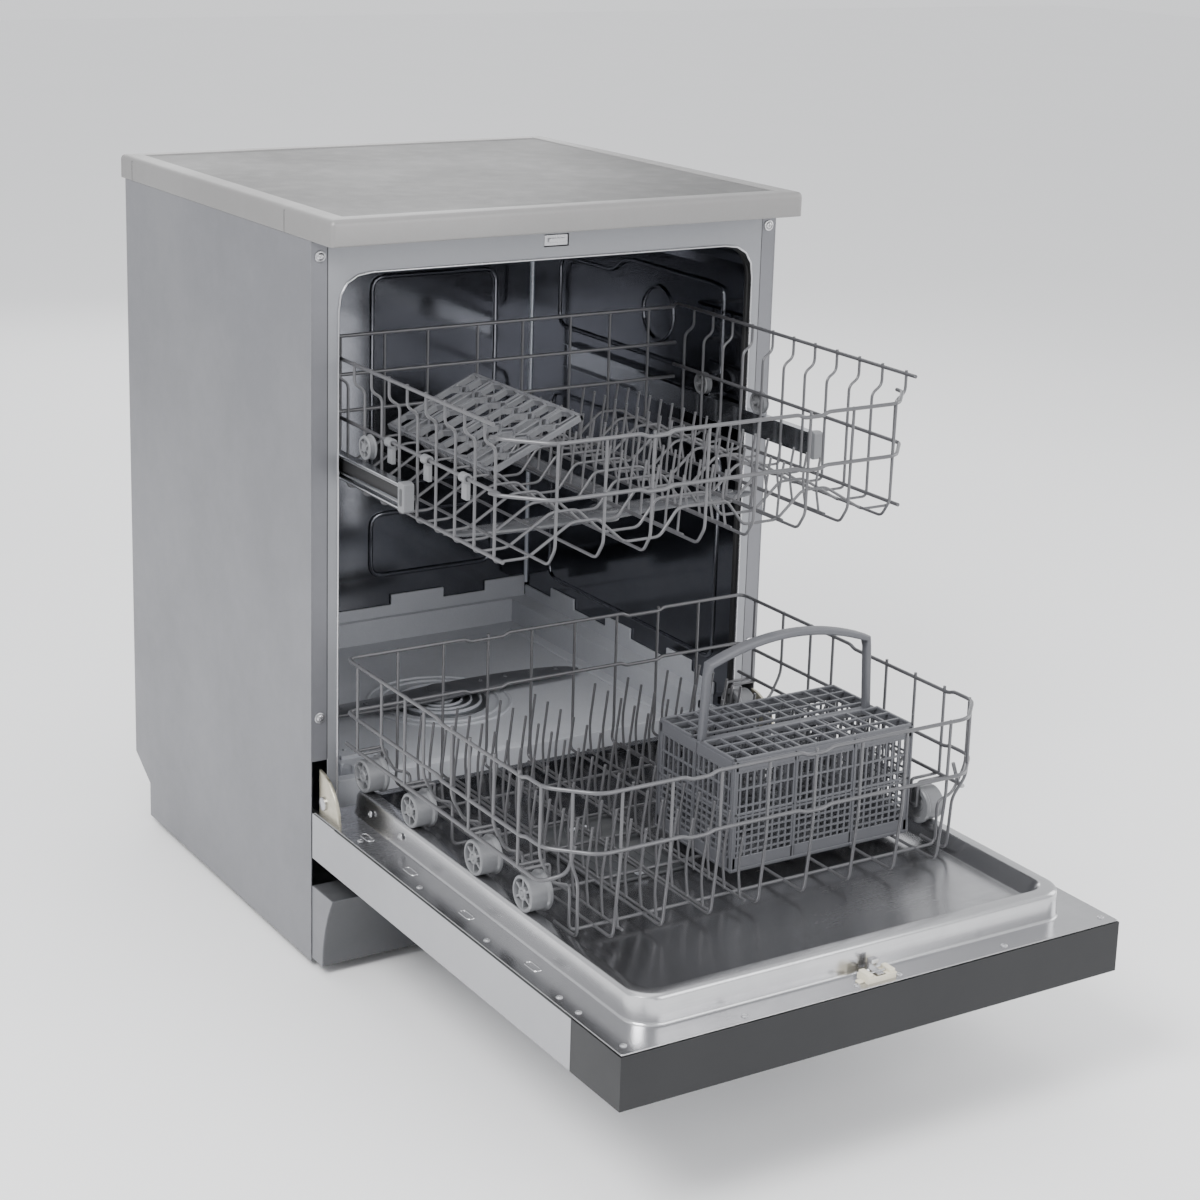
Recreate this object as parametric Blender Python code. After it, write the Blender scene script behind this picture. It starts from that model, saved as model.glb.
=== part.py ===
"""Free-standing dishwasher, 598 mm wide, with its door lowered and both racks drawn out.

Frame: metres, +X to the right of someone facing the door, +Y to the back, +Z up. The origin is on the
floor under the middle of the worktop. The door turns about the X axis; the racks slide along Y.
"""
import math

import bmesh
import bpy
from mathutils import Matrix, Vector

# ---------------------------------------------------------------- overall sizes
WIDTH = 0.598                 # worktop, cabinet and door
DEPTH = 0.590                 # worktop, front to back
HEIGHT = 0.850                # floor to the top of the worktop
GAP = 0.0003                  # between pieces that touch
SLACK = 0.001                 # between pieces that are fitted with play

# ---------------------------------------------------------------- worktop
TOP_HEIGHT = 0.028
TOP_EDGE = 0.024              # width of the moulded edge round the board
TOP_LIP = 0.008               # ledge that carries the board
BOARD_THICKNESS = 0.016
BOARD_DROP = 0.0012           # board surface below the edge

# ---------------------------------------------------------------- cabinet
SHEET = 0.0012
BODY_FRONT = -0.245
BODY_BACK = 0.279
PANEL_BOTTOM = 0.008
PANEL_INSET = 0.0005          # panel inside the worktop edge, each side
POST_WIDTH = 0.0195           # folded front flange of a side panel
HINGE_CUTOUT = 0.245          # the flange is cut away below this height
NOTCH_TOP = 0.080             # rear lower corner cut-out
NOTCH_BEND = 0.052
NOTCH_DEPTH = 0.047
BACK_PANEL_BOTTOM = 0.085

# ---------------------------------------------------------------- tub
TUB_HALF_WIDTH = 0.272
TUB_CEILING = 0.790
TUB_BACK = 0.262
TUB_WALL = 0.0015
TUB_CORNER = 0.045
OPENING_HALF_WIDTH = 0.267
OPENING_TOP = 0.785
OPENING_CORNER = 0.036
SEAL_WIDTH = 0.005
SEAL_DEPTH = 0.012
FLOOR_BOTTOM = 0.150
FLOOR_WELL = 0.185
FLOOR_FRONT = -0.214
FLOOR_LIP = 0.203
LEDGE_WIDTH = 0.0285
SUMP_RADIUS = 0.062
SUMP_CENTRE = (0.0, 0.010)
SALT_CENTRE = (-0.198, -0.150)
SALT_RADIUS = 0.030

# ---------------------------------------------------------------- door
PIVOT_Y = -0.247
PIVOT_Z = 0.188
DOOR_LENGTH = 0.633           # pivot to the top edge
DOOR_THICKNESS = 0.054
RIM_HEIGHT = 0.0295
RIM_HALF_WIDTH = 0.2615
RIM_TOP_WIDTH = 0.0165
DISH_HEIGHT = 0.011           # dished middle above the flange
FASCIA_LENGTH = 0.0845
FASCIA_WALL = 0.0025
SKIRT = 0.083                 # outer skin below the pivot, over the gap above the plinth
HINGE_RADIUS = 0.050
HINGE_PLATE = 0.0025
HINGE_INSET = 0.007           # hinge plate inside the panel's outer face
DISPENSER = (-0.135, -0.030, -0.585, -0.427)   # x low, x high, y low, y high
DISPENSER_RISE = 0.0015

# ---------------------------------------------------------------- racks
WIRE = 0.0021
THIN_WIRE = 0.0016
TINE_WIRE = 0.0013
LOWER_HALF_WIDTH = 0.2630
LOWER_FRONT = -0.7190
LOWER_REAR = -0.2600
LOWER_TOP = 0.364
LOWER_MID = 0.303
LOWER_RAIL = 0.2665
LOWER_FLOOR = 0.2078
LOWER_TINE = 0.088
RACK_CHAMFER = 0.040
WHEEL_RADIUS = 0.0185
WHEEL_FLANGE = 0.0205
WHEEL_Y = (-0.6335, -0.5355, -0.3973, -0.2874)
WHEEL_OUTER = 0.2580
TREAD_WIDTH = 0.0200
FLANGE_WIDTH = 0.0050
AXLE_RADIUS = 0.0035
UPPER_HALF_WIDTH = 0.2450
UPPER_FLARE = 0.0125          # the top wire stands this far outside the rack's side
UPPER_FRONT = -0.5950
UPPER_REAR = -0.1250
UPPER_TOP = 0.692
UPPER_FRONT_TOP = 0.673
UPPER_MID = 0.617
UPPER_FLOOR = 0.545
UPPER_TINE = 0.062
UPPER_TRAVEL = 0.364

# ---------------------------------------------------------------- telescopic rails
RAIL_BOTTOM = 0.562
RAIL_TOP = 0.593
RAIL_DEPTH = 0.0115
RAIL_SPACER = 0.0045          # web and spacer between the tub wall and the inner rail
RAIL_REAR = 0.160
RAIL_FRONT = -0.178
CAP_LENGTH = 0.035

# ---------------------------------------------------------------- spray arms
LOWER_ARM_LENGTH = 0.203      # tip to centre
LOWER_ARM_Z = 0.1965
UPPER_ARM_LENGTH = 0.200
UPPER_ARM_Z = 0.522
ARM_THICKNESS = 0.010

# ---------------------------------------------------------------- cutlery basket
BASKET_X = (-0.013, 0.218)
BASKET_Y = (-0.639, -0.501)
BASKET_TOP = 0.333
BASKET_WALL = 0.0022
HANDLE_TOP = 0.435
LID_GAP = 0.0080              # from the basket's middle to each lid's hinge


def clear_scene():
    """Remove every object that the file holds."""
    for obj in list(bpy.data.objects):
        bpy.data.objects.remove(obj, do_unlink=True)


def finish(name, colour, roughness=0.5, metallic=0.0):
    """Make one plain Principled material."""
    material = bpy.data.materials.new(name)
    material.use_nodes = True
    shader = material.node_tree.nodes["Principled BSDF"]
    shader.inputs["Base Color"].default_value = (*colour, 1.0)
    shader.inputs["Roughness"].default_value = roughness
    shader.inputs["Metallic"].default_value = metallic
    return material


# ---------------------------------------------------------------- mesh helpers
def add_object(name, bm, material, origin=(0.0, 0.0, 0.0), parent=None):
    """Turn a bmesh in world coordinates into an object whose origin is at origin."""
    bmesh.ops.recalc_face_normals(bm, faces=bm.faces)
    bmesh.ops.translate(bm, verts=bm.verts, vec=-Vector(origin))
    mesh = bpy.data.meshes.new(name)
    bm.to_mesh(mesh)
    bm.free()
    mesh.materials.append(material)
    mesh.shade_smooth()
    mesh.set_sharp_from_angle(angle=math.radians(35))
    obj = bpy.data.objects.new(name, mesh)
    bpy.context.scene.collection.objects.link(obj)
    place = Vector(origin)
    if parent is not None:
        obj.parent = parent
        place -= parent.location
    obj.location = place
    return obj


def joint_empty(name, place):
    """An empty on a joint's axis, which its moving pieces hang from."""
    empty = bpy.data.objects.new(name, None)
    empty.location = place
    bpy.context.scene.collection.objects.link(empty)
    return empty


def add_block(bm, low, high):
    """Add a closed box between two corners."""
    middle = [(a + b) / 2 for a, b in zip(low, high)]
    size = [b - a for a, b in zip(low, high)]
    matrix = Matrix.Translation(middle) @ Matrix.Diagonal((*size, 1.0))
    bmesh.ops.create_cube(bm, size=1.0, matrix=matrix)


def add_prism(bm, outline, axis, start, end):
    """Add an outline extruded along an axis. Its points are the other two coordinates in x, y, z order."""
    def place(point, level):
        coords = list(point)
        coords.insert("xyz".index(axis), level)
        return coords

    low = [bm.verts.new(place(p, start)) for p in outline]
    high = [bm.verts.new(place(p, end)) for p in outline]
    count = len(outline)
    bm.faces.new(low)
    bm.faces.new(list(reversed(high)))
    for i in range(count):
        k = (i + 1) % count
        bm.faces.new((low[i], low[k], high[k], high[i]))


def add_turned(bm, profile, centre, axis, segments=16):
    """Add a solid of revolution. The profile is (along, radius) points that start and end on the axis."""
    turn = {"x": Matrix.Rotation(math.pi / 2, 3, "Y"), "y": Matrix.Rotation(-math.pi / 2, 3, "X"),
            "z": Matrix.Identity(3)}[axis]
    rings = []
    for along, radius in profile:
        if radius == 0:
            rings.append([bm.verts.new(turn @ Vector((0, 0, along)) + Vector(centre))])
            continue
        ring = []
        for i in range(segments):
            angle = 2 * math.pi * i / segments
            point = Vector((radius * math.cos(angle), radius * math.sin(angle), along))
            ring.append(bm.verts.new(turn @ point + Vector(centre)))
        rings.append(ring)
    for one, two in zip(rings, rings[1:]):
        for i in range(segments):
            k = (i + 1) % segments
            corners = [one[i % len(one)], one[k % len(one)], two[k % len(two)], two[i % len(two)]]
            unique = list(dict.fromkeys(corners))
            bm.faces.new(unique)


def add_ring(bm, profile, centre, axis, segments=16):
    """Add a turned solid with a bore. The profile is a closed loop of (along, radius) points."""
    turn = {"x": Matrix.Rotation(math.pi / 2, 3, "Y"), "y": Matrix.Rotation(-math.pi / 2, 3, "X"),
            "z": Matrix.Identity(3)}[axis]
    rings = []
    for along, radius in profile:
        ring = []
        for i in range(segments):
            angle = 2 * math.pi * i / segments
            point = Vector((radius * math.cos(angle), radius * math.sin(angle), along))
            ring.append(bm.verts.new(turn @ point + Vector(centre)))
        rings.append(ring)
    for one, two in zip(rings, rings[1:] + rings[:1]):
        for i in range(segments):
            k = (i + 1) % segments
            bm.faces.new((one[i], one[k], two[k], two[i]))


def add_wire(bm, points, radius, sides=4):
    """Add a bent wire as a closed tube with mitred corners."""
    points = [Vector(p) for p in points]
    first = (points[1] - points[0]).normalized()
    side = first.orthogonal().normalized()
    rings = []
    for i, point in enumerate(points):
        before = (point - points[i - 1]).normalized() if i else first
        after = (points[i + 1] - point).normalized() if i + 1 < len(points) else before
        along = (before + after).normalized()
        side = (side - along * side.dot(along)).normalized()
        across = along.cross(side)
        stretch = 1 / max(0.5, along.dot(before))
        bend = after - before
        bend = bend.normalized() if bend.length > 1e-6 else side
        ring = []
        for k in range(sides):
            angle = 2 * math.pi * (k + 0.5) / sides
            offset = (side * math.cos(angle) + across * math.sin(angle)) * radius
            offset += bend * offset.dot(bend) * (stretch - 1)
            ring.append(bm.verts.new(point + offset))
        rings.append(ring)
    for one, two in zip(rings, rings[1:]):
        for k in range(sides):
            n = (k + 1) % sides
            bm.faces.new((one[k], one[n], two[n], two[k]))
    bm.faces.new(list(reversed(rings[0])))
    bm.faces.new(rings[-1])


def add_bar(bm, start, end, half):
    """Add a straight wire along an axis as a square bar."""
    low = [min(a, b) - half for a, b in zip(start, end)]
    high = [max(a, b) + half for a, b in zip(start, end)]
    add_block(bm, low, high)


def arc(centre, radius, start, end, steps):
    """Points of an arc, from one angle to another in degrees."""
    points = []
    for i in range(steps + 1):
        angle = math.radians(start + (end - start) * i / steps)
        points.append((centre[0] + radius * math.cos(angle), centre[1] + radius * math.sin(angle)))
    return points


def rounded_rectangle(x_low, x_high, y_low, y_high, radius, steps=4):
    """Outline of a rectangle with round corners."""
    points = arc((x_high - radius, y_high - radius), radius, 0, 90, steps)
    points += arc((x_low + radius, y_high - radius), radius, 90, 180, steps)
    points += arc((x_low + radius, y_low + radius), radius, 180, 270, steps)
    points += arc((x_high - radius, y_low + radius), radius, 270, 360, steps)
    return points


def arch(half_width, bottom, top, radius, steps=4):
    """Outline of a doorway shape with round upper corners, in x and z."""
    points = [(half_width, bottom)]
    points += arc((half_width - radius, top - radius), radius, 0, 90, steps)
    points += arc((radius - half_width, top - radius), radius, 90, 180, steps)
    points.append((-half_width, bottom))
    return points


def hidden_tool(name, bm):
    """A cutter or joining shape that isn't part of the object."""
    obj = add_object(name, bm, TOOL)
    obj.hide_render = True
    obj.display_type = "WIRE"
    return obj


def combine(obj, tool_bm, operation):
    """Cut a shape out of an object or join one to it."""
    tool = hidden_tool(f"{obj.name}_{operation.lower()}_{len(obj.modifiers)}", tool_bm)
    modifier = obj.modifiers.new(operation.title(), "BOOLEAN")
    modifier.operation = operation
    modifier.solver = "EXACT"
    modifier.object = tool
    modifier.use_self = True
    return obj


def joined(name, bm, joining, material, origin=(0.0, 0.0, 0.0), parent=None):
    """An object made of overlapping solids, united into one body."""
    obj = add_object(name, bm, material, origin, parent)
    return combine(obj, joining, "UNION")


def plain(name, build, material, origin=(0.0, 0.0, 0.0), parent=None):
    """An object from one function that fills a bmesh."""
    bm = bmesh.new()
    build(bm)
    return add_object(name, bm, material, origin, parent)


def block(name, low, high, material, parent=None, bevel=0.0):
    """A box as an object, with softened edges when bevel is set."""
    obj = plain(name, lambda bm: add_block(bm, low, high), material, parent=parent)
    if bevel:
        modifier = obj.modifiers.new("Bevel", "BEVEL")
        modifier.width = bevel
        modifier.segments = 1
    return obj


def cut_blocks(obj, boxes):
    """Cut boxes out of an object, each given by its low and high corners."""
    bm = bmesh.new()
    for low, high in boxes:
        add_block(bm, low, high)
    return combine(obj, bm, "DIFFERENCE")


# ---------------------------------------------------------------- cabinet
def worktop():
    """The moulded edge and the board that lies in it."""
    half_x, half_y = WIDTH / 2, DEPTH / 2
    bottom = HEIGHT - TOP_HEIGHT
    board_top = HEIGHT - BOARD_DROP
    board_bottom = board_top - BOARD_THICKNESS
    edge = block("worktop_edge", (-half_x, -half_y, bottom), (half_x, half_y, HEIGHT), EDGE, bevel=0.003)
    in_x, in_y = half_x - TOP_EDGE, half_y - TOP_EDGE
    cut_blocks(edge, [((-in_x, -in_y, board_bottom - GAP), (in_x, in_y, HEIGHT + 0.01))])
    hole_x, hole_y = in_x - TOP_LIP, in_y - TOP_LIP
    cut_blocks(edge, [((-hole_x, -hole_y, bottom - 0.01), (hole_x, hole_y, HEIGHT))])
    block("worktop_board", (-in_x + GAP, -in_y + GAP, board_bottom), (in_x - GAP, in_y - GAP, board_top), TOP)


def side_panel(name, side):
    """A folded side panel with its front flange. side is -1 on the left and 1 on the right."""
    top = HEIGHT - TOP_HEIGHT - GAP
    outer = side * (WIDTH / 2 - PANEL_INSET)
    inner = outer - side * SHEET
    notch_y = BODY_BACK - NOTCH_DEPTH
    outline = [(BODY_FRONT, PANEL_BOTTOM), (notch_y, PANEL_BOTTOM), (notch_y, NOTCH_BEND),
               (BODY_BACK, NOTCH_TOP), (BODY_BACK, top), (BODY_FRONT, top)]
    bm = bmesh.new()
    add_prism(bm, outline, "x", min(outer, inner), max(outer, inner))
    flange = bmesh.new()
    edge = outer - side * POST_WIDTH
    middle = outer - side * SHEET / 2
    add_block(flange, (min(middle, edge), BODY_FRONT + SHEET / 4, HINGE_CUTOUT),
              (max(middle, edge), BODY_FRONT + SHEET, top - SHEET))
    return joined(name, bm, flange, SILVER)


def back_panel():
    """The rear sheet, between the two side panels."""
    half = WIDTH / 2 - PANEL_INSET - SHEET - GAP
    block("back_panel", (-half, BODY_BACK - SHEET, BACK_PANEL_BOTTOM),
          (half, BODY_BACK, HEIGHT - TOP_HEIGHT - GAP), GALVANISED)


FOOT_X = 0.245
FOOT_FRONT = -0.226
FOOT_REAR = 0.205
FOOT_RADIUS = 0.019
FOOT_PAD = 0.0115
STUD_RADIUS = 0.0050
TRAY_BOTTOM = 0.012
TRAY_TOP = 0.026


def base_tray():
    """The plastic base that the feet screw into, with its front wall behind the plinth."""
    half = WIDTH / 2 - PANEL_INSET - SHEET - SLACK
    front = BODY_FRONT + 0.004
    rear = BODY_BACK - NOTCH_DEPTH - SLACK
    bm = bmesh.new()
    add_block(bm, (-half, front, TRAY_BOTTOM), (half, rear, TRAY_TOP))
    wall = bmesh.new()
    add_block(wall, (-half + SLACK, front + 0.0002, TRAY_TOP - 0.004), (half - SLACK, front + 0.0040, 0.082))
    tray = joined("base_tray", bm, wall, BLACK)
    holes = bmesh.new()
    for x in (-FOOT_X, FOOT_X):
        for y in (FOOT_FRONT, FOOT_REAR):
            reach = (TRAY_TOP - TRAY_BOTTOM) + 0.02
            add_turned(holes, [(-reach, 0), (-reach, STUD_RADIUS + GAP), (reach, STUD_RADIUS + GAP), (reach, 0)],
                       (x, y, TRAY_TOP), "z", 12)
    combine(tray, holes, "DIFFERENCE")


def foot(name, x, y):
    """A levelling foot: a pad with a threaded stud."""
    profile = [(0, 0), (0, FOOT_RADIUS), (0.007, FOOT_RADIUS), (FOOT_PAD, 0.012), (FOOT_PAD, STUD_RADIUS),
               (0.046, STUD_RADIUS), (0.046, 0)]
    plain(name, lambda bm: add_turned(bm, profile, (x, y, 0), "z", 12), BLACK, origin=(x, y, 0))


PLINTH_TOP = 0.100
PLINTH_BOTTOM = 0.012
PLINTH_FRONT = -0.297
PLINTH_TOE = -0.272
PLINTH_WALL = 0.0025


def plinth():
    """The toe board, whose front curves back towards the floor."""
    half = WIDTH / 2 - 0.002
    back = BODY_FRONT - SLACK
    curve = []
    steps = 6
    for i in range(steps + 1):
        t = i / steps
        sweep = 1 - (1 - t) ** 2
        curve.append((PLINTH_FRONT + (PLINTH_TOE - PLINTH_FRONT) * sweep,
                      PLINTH_TOP + (PLINTH_BOTTOM - PLINTH_TOP) * t))
    outline = curve + [(back, PLINTH_BOTTOM), (back, PLINTH_TOP)]
    shell = plain("plinth", lambda bm: add_prism(bm, outline, "x", -half, half), SILVER_DARK)
    inner = [(y + PLINTH_WALL, z) for y, z in curve[:-1]]
    inner = [(inner[0][0], PLINTH_TOP - PLINTH_WALL)] + inner[1:]
    inner += [(PLINTH_TOE + PLINTH_WALL, PLINTH_BOTTOM + PLINTH_WALL), (back + 0.01, PLINTH_BOTTOM + PLINTH_WALL),
              (back + 0.01, PLINTH_TOP - PLINTH_WALL)]
    bm = bmesh.new()
    add_prism(bm, inner, "x", -half + PLINTH_WALL, half - PLINTH_WALL)
    combine(shell, bm, "DIFFERENCE")


def front_frame():
    """The steel face round the opening, with the socket that the door's hook enters welded behind its slot."""
    half = WIDTH / 2 - PANEL_INSET - POST_WIDTH - GAP
    top = HEIGHT - TOP_HEIGHT - GAP
    bottom = 0.150
    outline = [(half, bottom), (half, top), (-half, top), (-half, bottom)]
    outline += list(reversed(arch(OPENING_HALF_WIDTH, bottom, OPENING_TOP, OPENING_CORNER, 5)))
    face = plain("front_frame", lambda bm: add_prism(bm, outline, "y", BODY_FRONT, BODY_FRONT + SHEET), STEEL)
    socket = bmesh.new()
    add_block(socket, (-0.0210, BODY_FRONT + SHEET / 2, 0.7935), (0.0210, -0.2150, 0.8170))
    combine(face, socket, "UNION")
    cut_blocks(face, [((-0.0160, BODY_FRONT - 0.01, 0.7980), (0.0160, -0.2180, 0.8120))])


def tub():
    """The wash tub: a folded wrapper, a back wall, and the plastic floor."""
    bottom = FLOOR_BOTTOM + 0.020
    front = BODY_FRONT + SHEET + GAP
    outer = arch(TUB_HALF_WIDTH + TUB_WALL, bottom, TUB_CEILING + TUB_WALL, TUB_CORNER + TUB_WALL, 6)
    inner = arch(TUB_HALF_WIDTH, bottom, TUB_CEILING, TUB_CORNER, 6)
    outline = outer + list(reversed(inner))
    plain("tub_wrapper", lambda bm: add_prism(bm, outline, "y", front, TUB_BACK - GAP), STEEL)
    plain("tub_back_wall", lambda bm: add_prism(bm, outer, "y", TUB_BACK, TUB_BACK + TUB_WALL), STEEL)
    half = TUB_HALF_WIDTH - GAP
    back = TUB_BACK - 2 * GAP
    ledge = PIVOT_Z + RIM_HEIGHT
    base = block("tub_floor", (-half, FLOOR_FRONT, FLOOR_BOTTOM), (half, back, ledge), BASE)
    well_x = half - LEDGE_WIDTH
    cut_blocks(base, [((-well_x, FLOOR_FRONT - 0.01, FLOOR_LIP), (well_x, back - 0.012, ledge + 0.01))])
    cut_blocks(base, [((-well_x, FLOOR_FRONT + 0.014, FLOOR_WELL), (well_x, back - 0.012, ledge + 0.01))])
    cut_blocks(base, [((-half - 0.01, FLOOR_FRONT - 0.01, FLOOR_LIP), (half + 0.01, FLOOR_FRONT + 0.016, ledge + 0.01))])
    cut_blocks(base, [((-half + 0.006, FLOOR_FRONT + 0.006, FLOOR_BOTTOM - 0.01),
                       (-well_x - 0.006, back - 0.006, ledge - 0.006)),
                      ((well_x + 0.006, FLOOR_FRONT + 0.006, FLOOR_BOTTOM - 0.01),
                       (half - 0.006, back - 0.006, ledge - 0.006)),
                      ((-well_x + 0.002, FLOOR_FRONT + 0.018, FLOOR_BOTTOM - 0.01),
                       (well_x - 0.002, back - 0.014, FLOOR_WELL - 0.006))])
    x, y = SUMP_CENTRE
    bm = bmesh.new()
    add_turned(bm, [(0, 0), (0, SUMP_RADIUS), (0.06, SUMP_RADIUS), (0.06, 0)], (x, y, FLOOR_BOTTOM - 0.01), "z", 24)
    salt_x, salt_y = SALT_CENTRE
    bore = SALT_RADIUS - 0.008
    add_turned(bm, [(0, 0), (0, bore), (0.06, bore), (0.06, 0)], (salt_x, salt_y, FLOOR_BOTTOM - 0.01), "z", 16)
    combine(base, bm, "DIFFERENCE")


def door_seal():
    """The black gasket just inside the opening."""
    front = BODY_FRONT + SHEET + 2 * GAP
    bottom = PIVOT_Z + RIM_HEIGHT + 0.004
    outer = arch(TUB_HALF_WIDTH - GAP, bottom, TUB_CEILING - GAP, TUB_CORNER - GAP, 6)
    inner = arch(TUB_HALF_WIDTH - SEAL_WIDTH, bottom, TUB_CEILING - SEAL_WIDTH, TUB_CORNER - SEAL_WIDTH, 6)
    outline = outer + list(reversed(inner))
    plain("door_seal", lambda bm: add_prism(bm, outline, "y", front, front + SEAL_DEPTH), RUBBER)


def sump_parts():
    """Filter, salt cap and the lower spray arm, each on its own upright axis."""
    x, y = SUMP_CENTRE
    radius = SUMP_RADIUS - SLACK
    body = [(-0.055, 0), (-0.055, 0.036), (-0.004, 0.036), (-0.004, radius), (0.001, radius), (0.003, 0.045),
            (0.003, 0.0)]
    place = (x, y, FLOOR_WELL)
    plain("filter_cup", lambda bm: add_turned(bm, body, place, "z", 24), FILTER, origin=place)
    cap = [(-0.020, 0), (-0.020, SALT_RADIUS - 0.009), (GAP, SALT_RADIUS - 0.009), (GAP, SALT_RADIUS),
           (0.012, SALT_RADIUS - 0.002), (0.016, SALT_RADIUS - 0.006), (0.016, 0)]
    place = (*SALT_CENTRE, FLOOR_WELL)
    plain("salt_cap", lambda bm: add_turned(bm, cap, place, "z", 20), BASE, origin=place)


def spray_arm(name, centre, length, width, rise):
    """A two-bladed spray arm on its hub. rise is the hub's height above the blades, or below when negative."""
    x, y, z = centre
    bm = bmesh.new()
    half = ARM_THICKNESS / 2
    tip = width * 0.32
    outline = arc((length - tip, 0), tip, -90, 90, 4)
    outline += [(0.03, width / 2), (-0.03, width / 2)]
    outline += arc((tip - length, 0), tip, 90, 270, 4)
    outline += [(-0.03, -width / 2), (0.03, -width / 2)]
    add_prism(bm, [(x + a, y + b) for a, b in outline], "z", z - half, z + half)
    hub = bmesh.new()
    low, high = sorted((0.0, rise))
    low, high = low - half - 0.0015, high + half + 0.0015
    add_turned(hub, [(low, 0), (low, 0.017), (high, 0.017), (high, 0)], centre, "z", 16)
    return joined(name, bm, hub, ARM, origin=centre)


def rail_pair():
    """Outer telescopic rails, fixed to the tub's side walls."""
    for side, name in ((-1, "left_outer_rail"), (1, "right_outer_rail")):
        wall = TUB_HALF_WIDTH - GAP
        lip = wall - RAIL_DEPTH
        web = wall - RAIL_SPACER
        thick = 0.0013
        profile = [(wall, RAIL_BOTTOM), (lip, RAIL_BOTTOM), (lip, RAIL_BOTTOM + thick), (web, RAIL_BOTTOM + thick),
                   (web, RAIL_TOP - thick), (lip, RAIL_TOP - thick), (lip, RAIL_TOP), (wall, RAIL_TOP)]
        outline = [(side * a, b) for a, b in profile]
        plain(name, lambda bm: add_prism(bm, outline, "y", RAIL_FRONT, RAIL_REAR), STEEL)


def slide_rail(name, side, parent):
    """Inner telescopic rail with its end cap, half drawn out."""
    shift = -UPPER_TRAVEL / 2
    outer = TUB_HALF_WIDTH - GAP - RAIL_SPACER - SLACK
    inner = outer - RAIL_DEPTH + 0.0010
    clearance = 0.0022
    low, high = RAIL_BOTTOM + clearance, RAIL_TOP - clearance
    mid = (low + high) / 2
    groove = 0.004
    profile = [(outer, low), (inner, low), (inner, mid - groove), (inner + 0.004, mid - groove),
               (inner + 0.004, mid + groove), (inner, mid + groove), (inner, high), (outer, high)]
    outline = [(side * a, b) for a, b in profile]
    bm = bmesh.new()
    add_prism(bm, outline, "y", RAIL_FRONT + shift - 0.010, RAIL_REAR + shift - 0.004)
    cap = bmesh.new()
    ends = sorted((side * (inner - 0.0015), side * (outer + 0.0005)))
    add_block(cap, (ends[0], RAIL_FRONT + shift - 0.002 - CAP_LENGTH, low - 0.003),
              (ends[1], RAIL_FRONT + shift - 0.002, high + 0.003))
    return joined(name, bm, cap, PLASTIC, parent=parent)


def machinery():
    """Wash pump, counterweight and door springs in the base."""
    bm = bmesh.new()
    place = (0.085, 0.020, 0.078)
    add_turned(bm, [(-0.050, 0), (-0.050, 0.040), (0.055, 0.040), (0.060, 0.034), (0.060, 0)], place, "x", 16)
    volute = bmesh.new()
    add_turned(volute, [(-0.078, 0), (-0.078, 0.047), (-0.045, 0.047), (-0.045, 0)], place, "x", 16)
    joined("wash_pump", bm, volute, PUMP)
    block("counterweight", (-0.200, 0.135, TRAY_TOP + GAP), (0.200, 0.190, 0.066), IRON, bevel=0.004)
    for side, name in ((-1, "left_door_spring"), (1, "right_door_spring")):
        points = []
        turns, per_turn = 7, 6
        length, radius = 0.130, 0.0062
        points.append((side * 0.2845, -0.130, 0.140))
        for i in range(turns * per_turn + 1):
            angle = 2 * math.pi * i / per_turn
            points.append((side * 0.2845 + radius * math.cos(angle), -0.100 + length * i / (turns * per_turn),
                           0.140 + radius * math.sin(angle)))
        points.append((side * 0.2845, 0.060, 0.140))
        plain(name, lambda bm: add_wire(bm, points, 0.0011, 4), ZINC)


# ---------------------------------------------------------------- door
def door(hinge):
    """The lowered door: outer panel, pressed liner, fascia and what they carry."""
    tip = PIVOT_Y - DOOR_LENGTH
    start = PIVOT_Y - 0.0015
    seam = tip + FASCIA_LENGTH
    half = WIDTH / 2 - PANEL_INSET
    under = PIVOT_Z - DOOR_THICKNESS
    flange = PIVOT_Z
    liner_sheet = 0.0010

    panel = block("door_outer_panel", (-half, seam + GAP, under), (half, start, flange - liner_sheet - GAP), SILVER,
                  hinge)
    cut_blocks(panel, [((-half + SHEET, seam - 0.02, under + SHEET), (half - SHEET, start - SHEET, flange + 0.02))])

    skirt = bmesh.new()
    add_block(skirt, (-half + 0.0030, start - 0.010, under + 0.0002), (half - 0.0030, PIVOT_Y + SKIRT, under + SHEET))
    combine(panel, skirt, "UNION")

    face = block("door_fascia", (-half, tip, under - 0.0006), (half, seam, flange - liner_sheet - GAP), CHARCOAL,
                 hinge)
    cut_blocks(face, [((-half + FASCIA_WALL, tip + FASCIA_WALL, under + FASCIA_WALL),
                       (half - FASCIA_WALL, seam + 0.02, flange + 0.02))])

    liner(hinge, tip, half, flange, liner_sheet)
    latch(hinge, tip, flange)
    dispenser(hinge, flange)
    for side, name in ((-1, "left_hinge_arm"), (1, "right_hinge_arm")):
        hinge_arm(name, side, hinge, half, flange)


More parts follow.
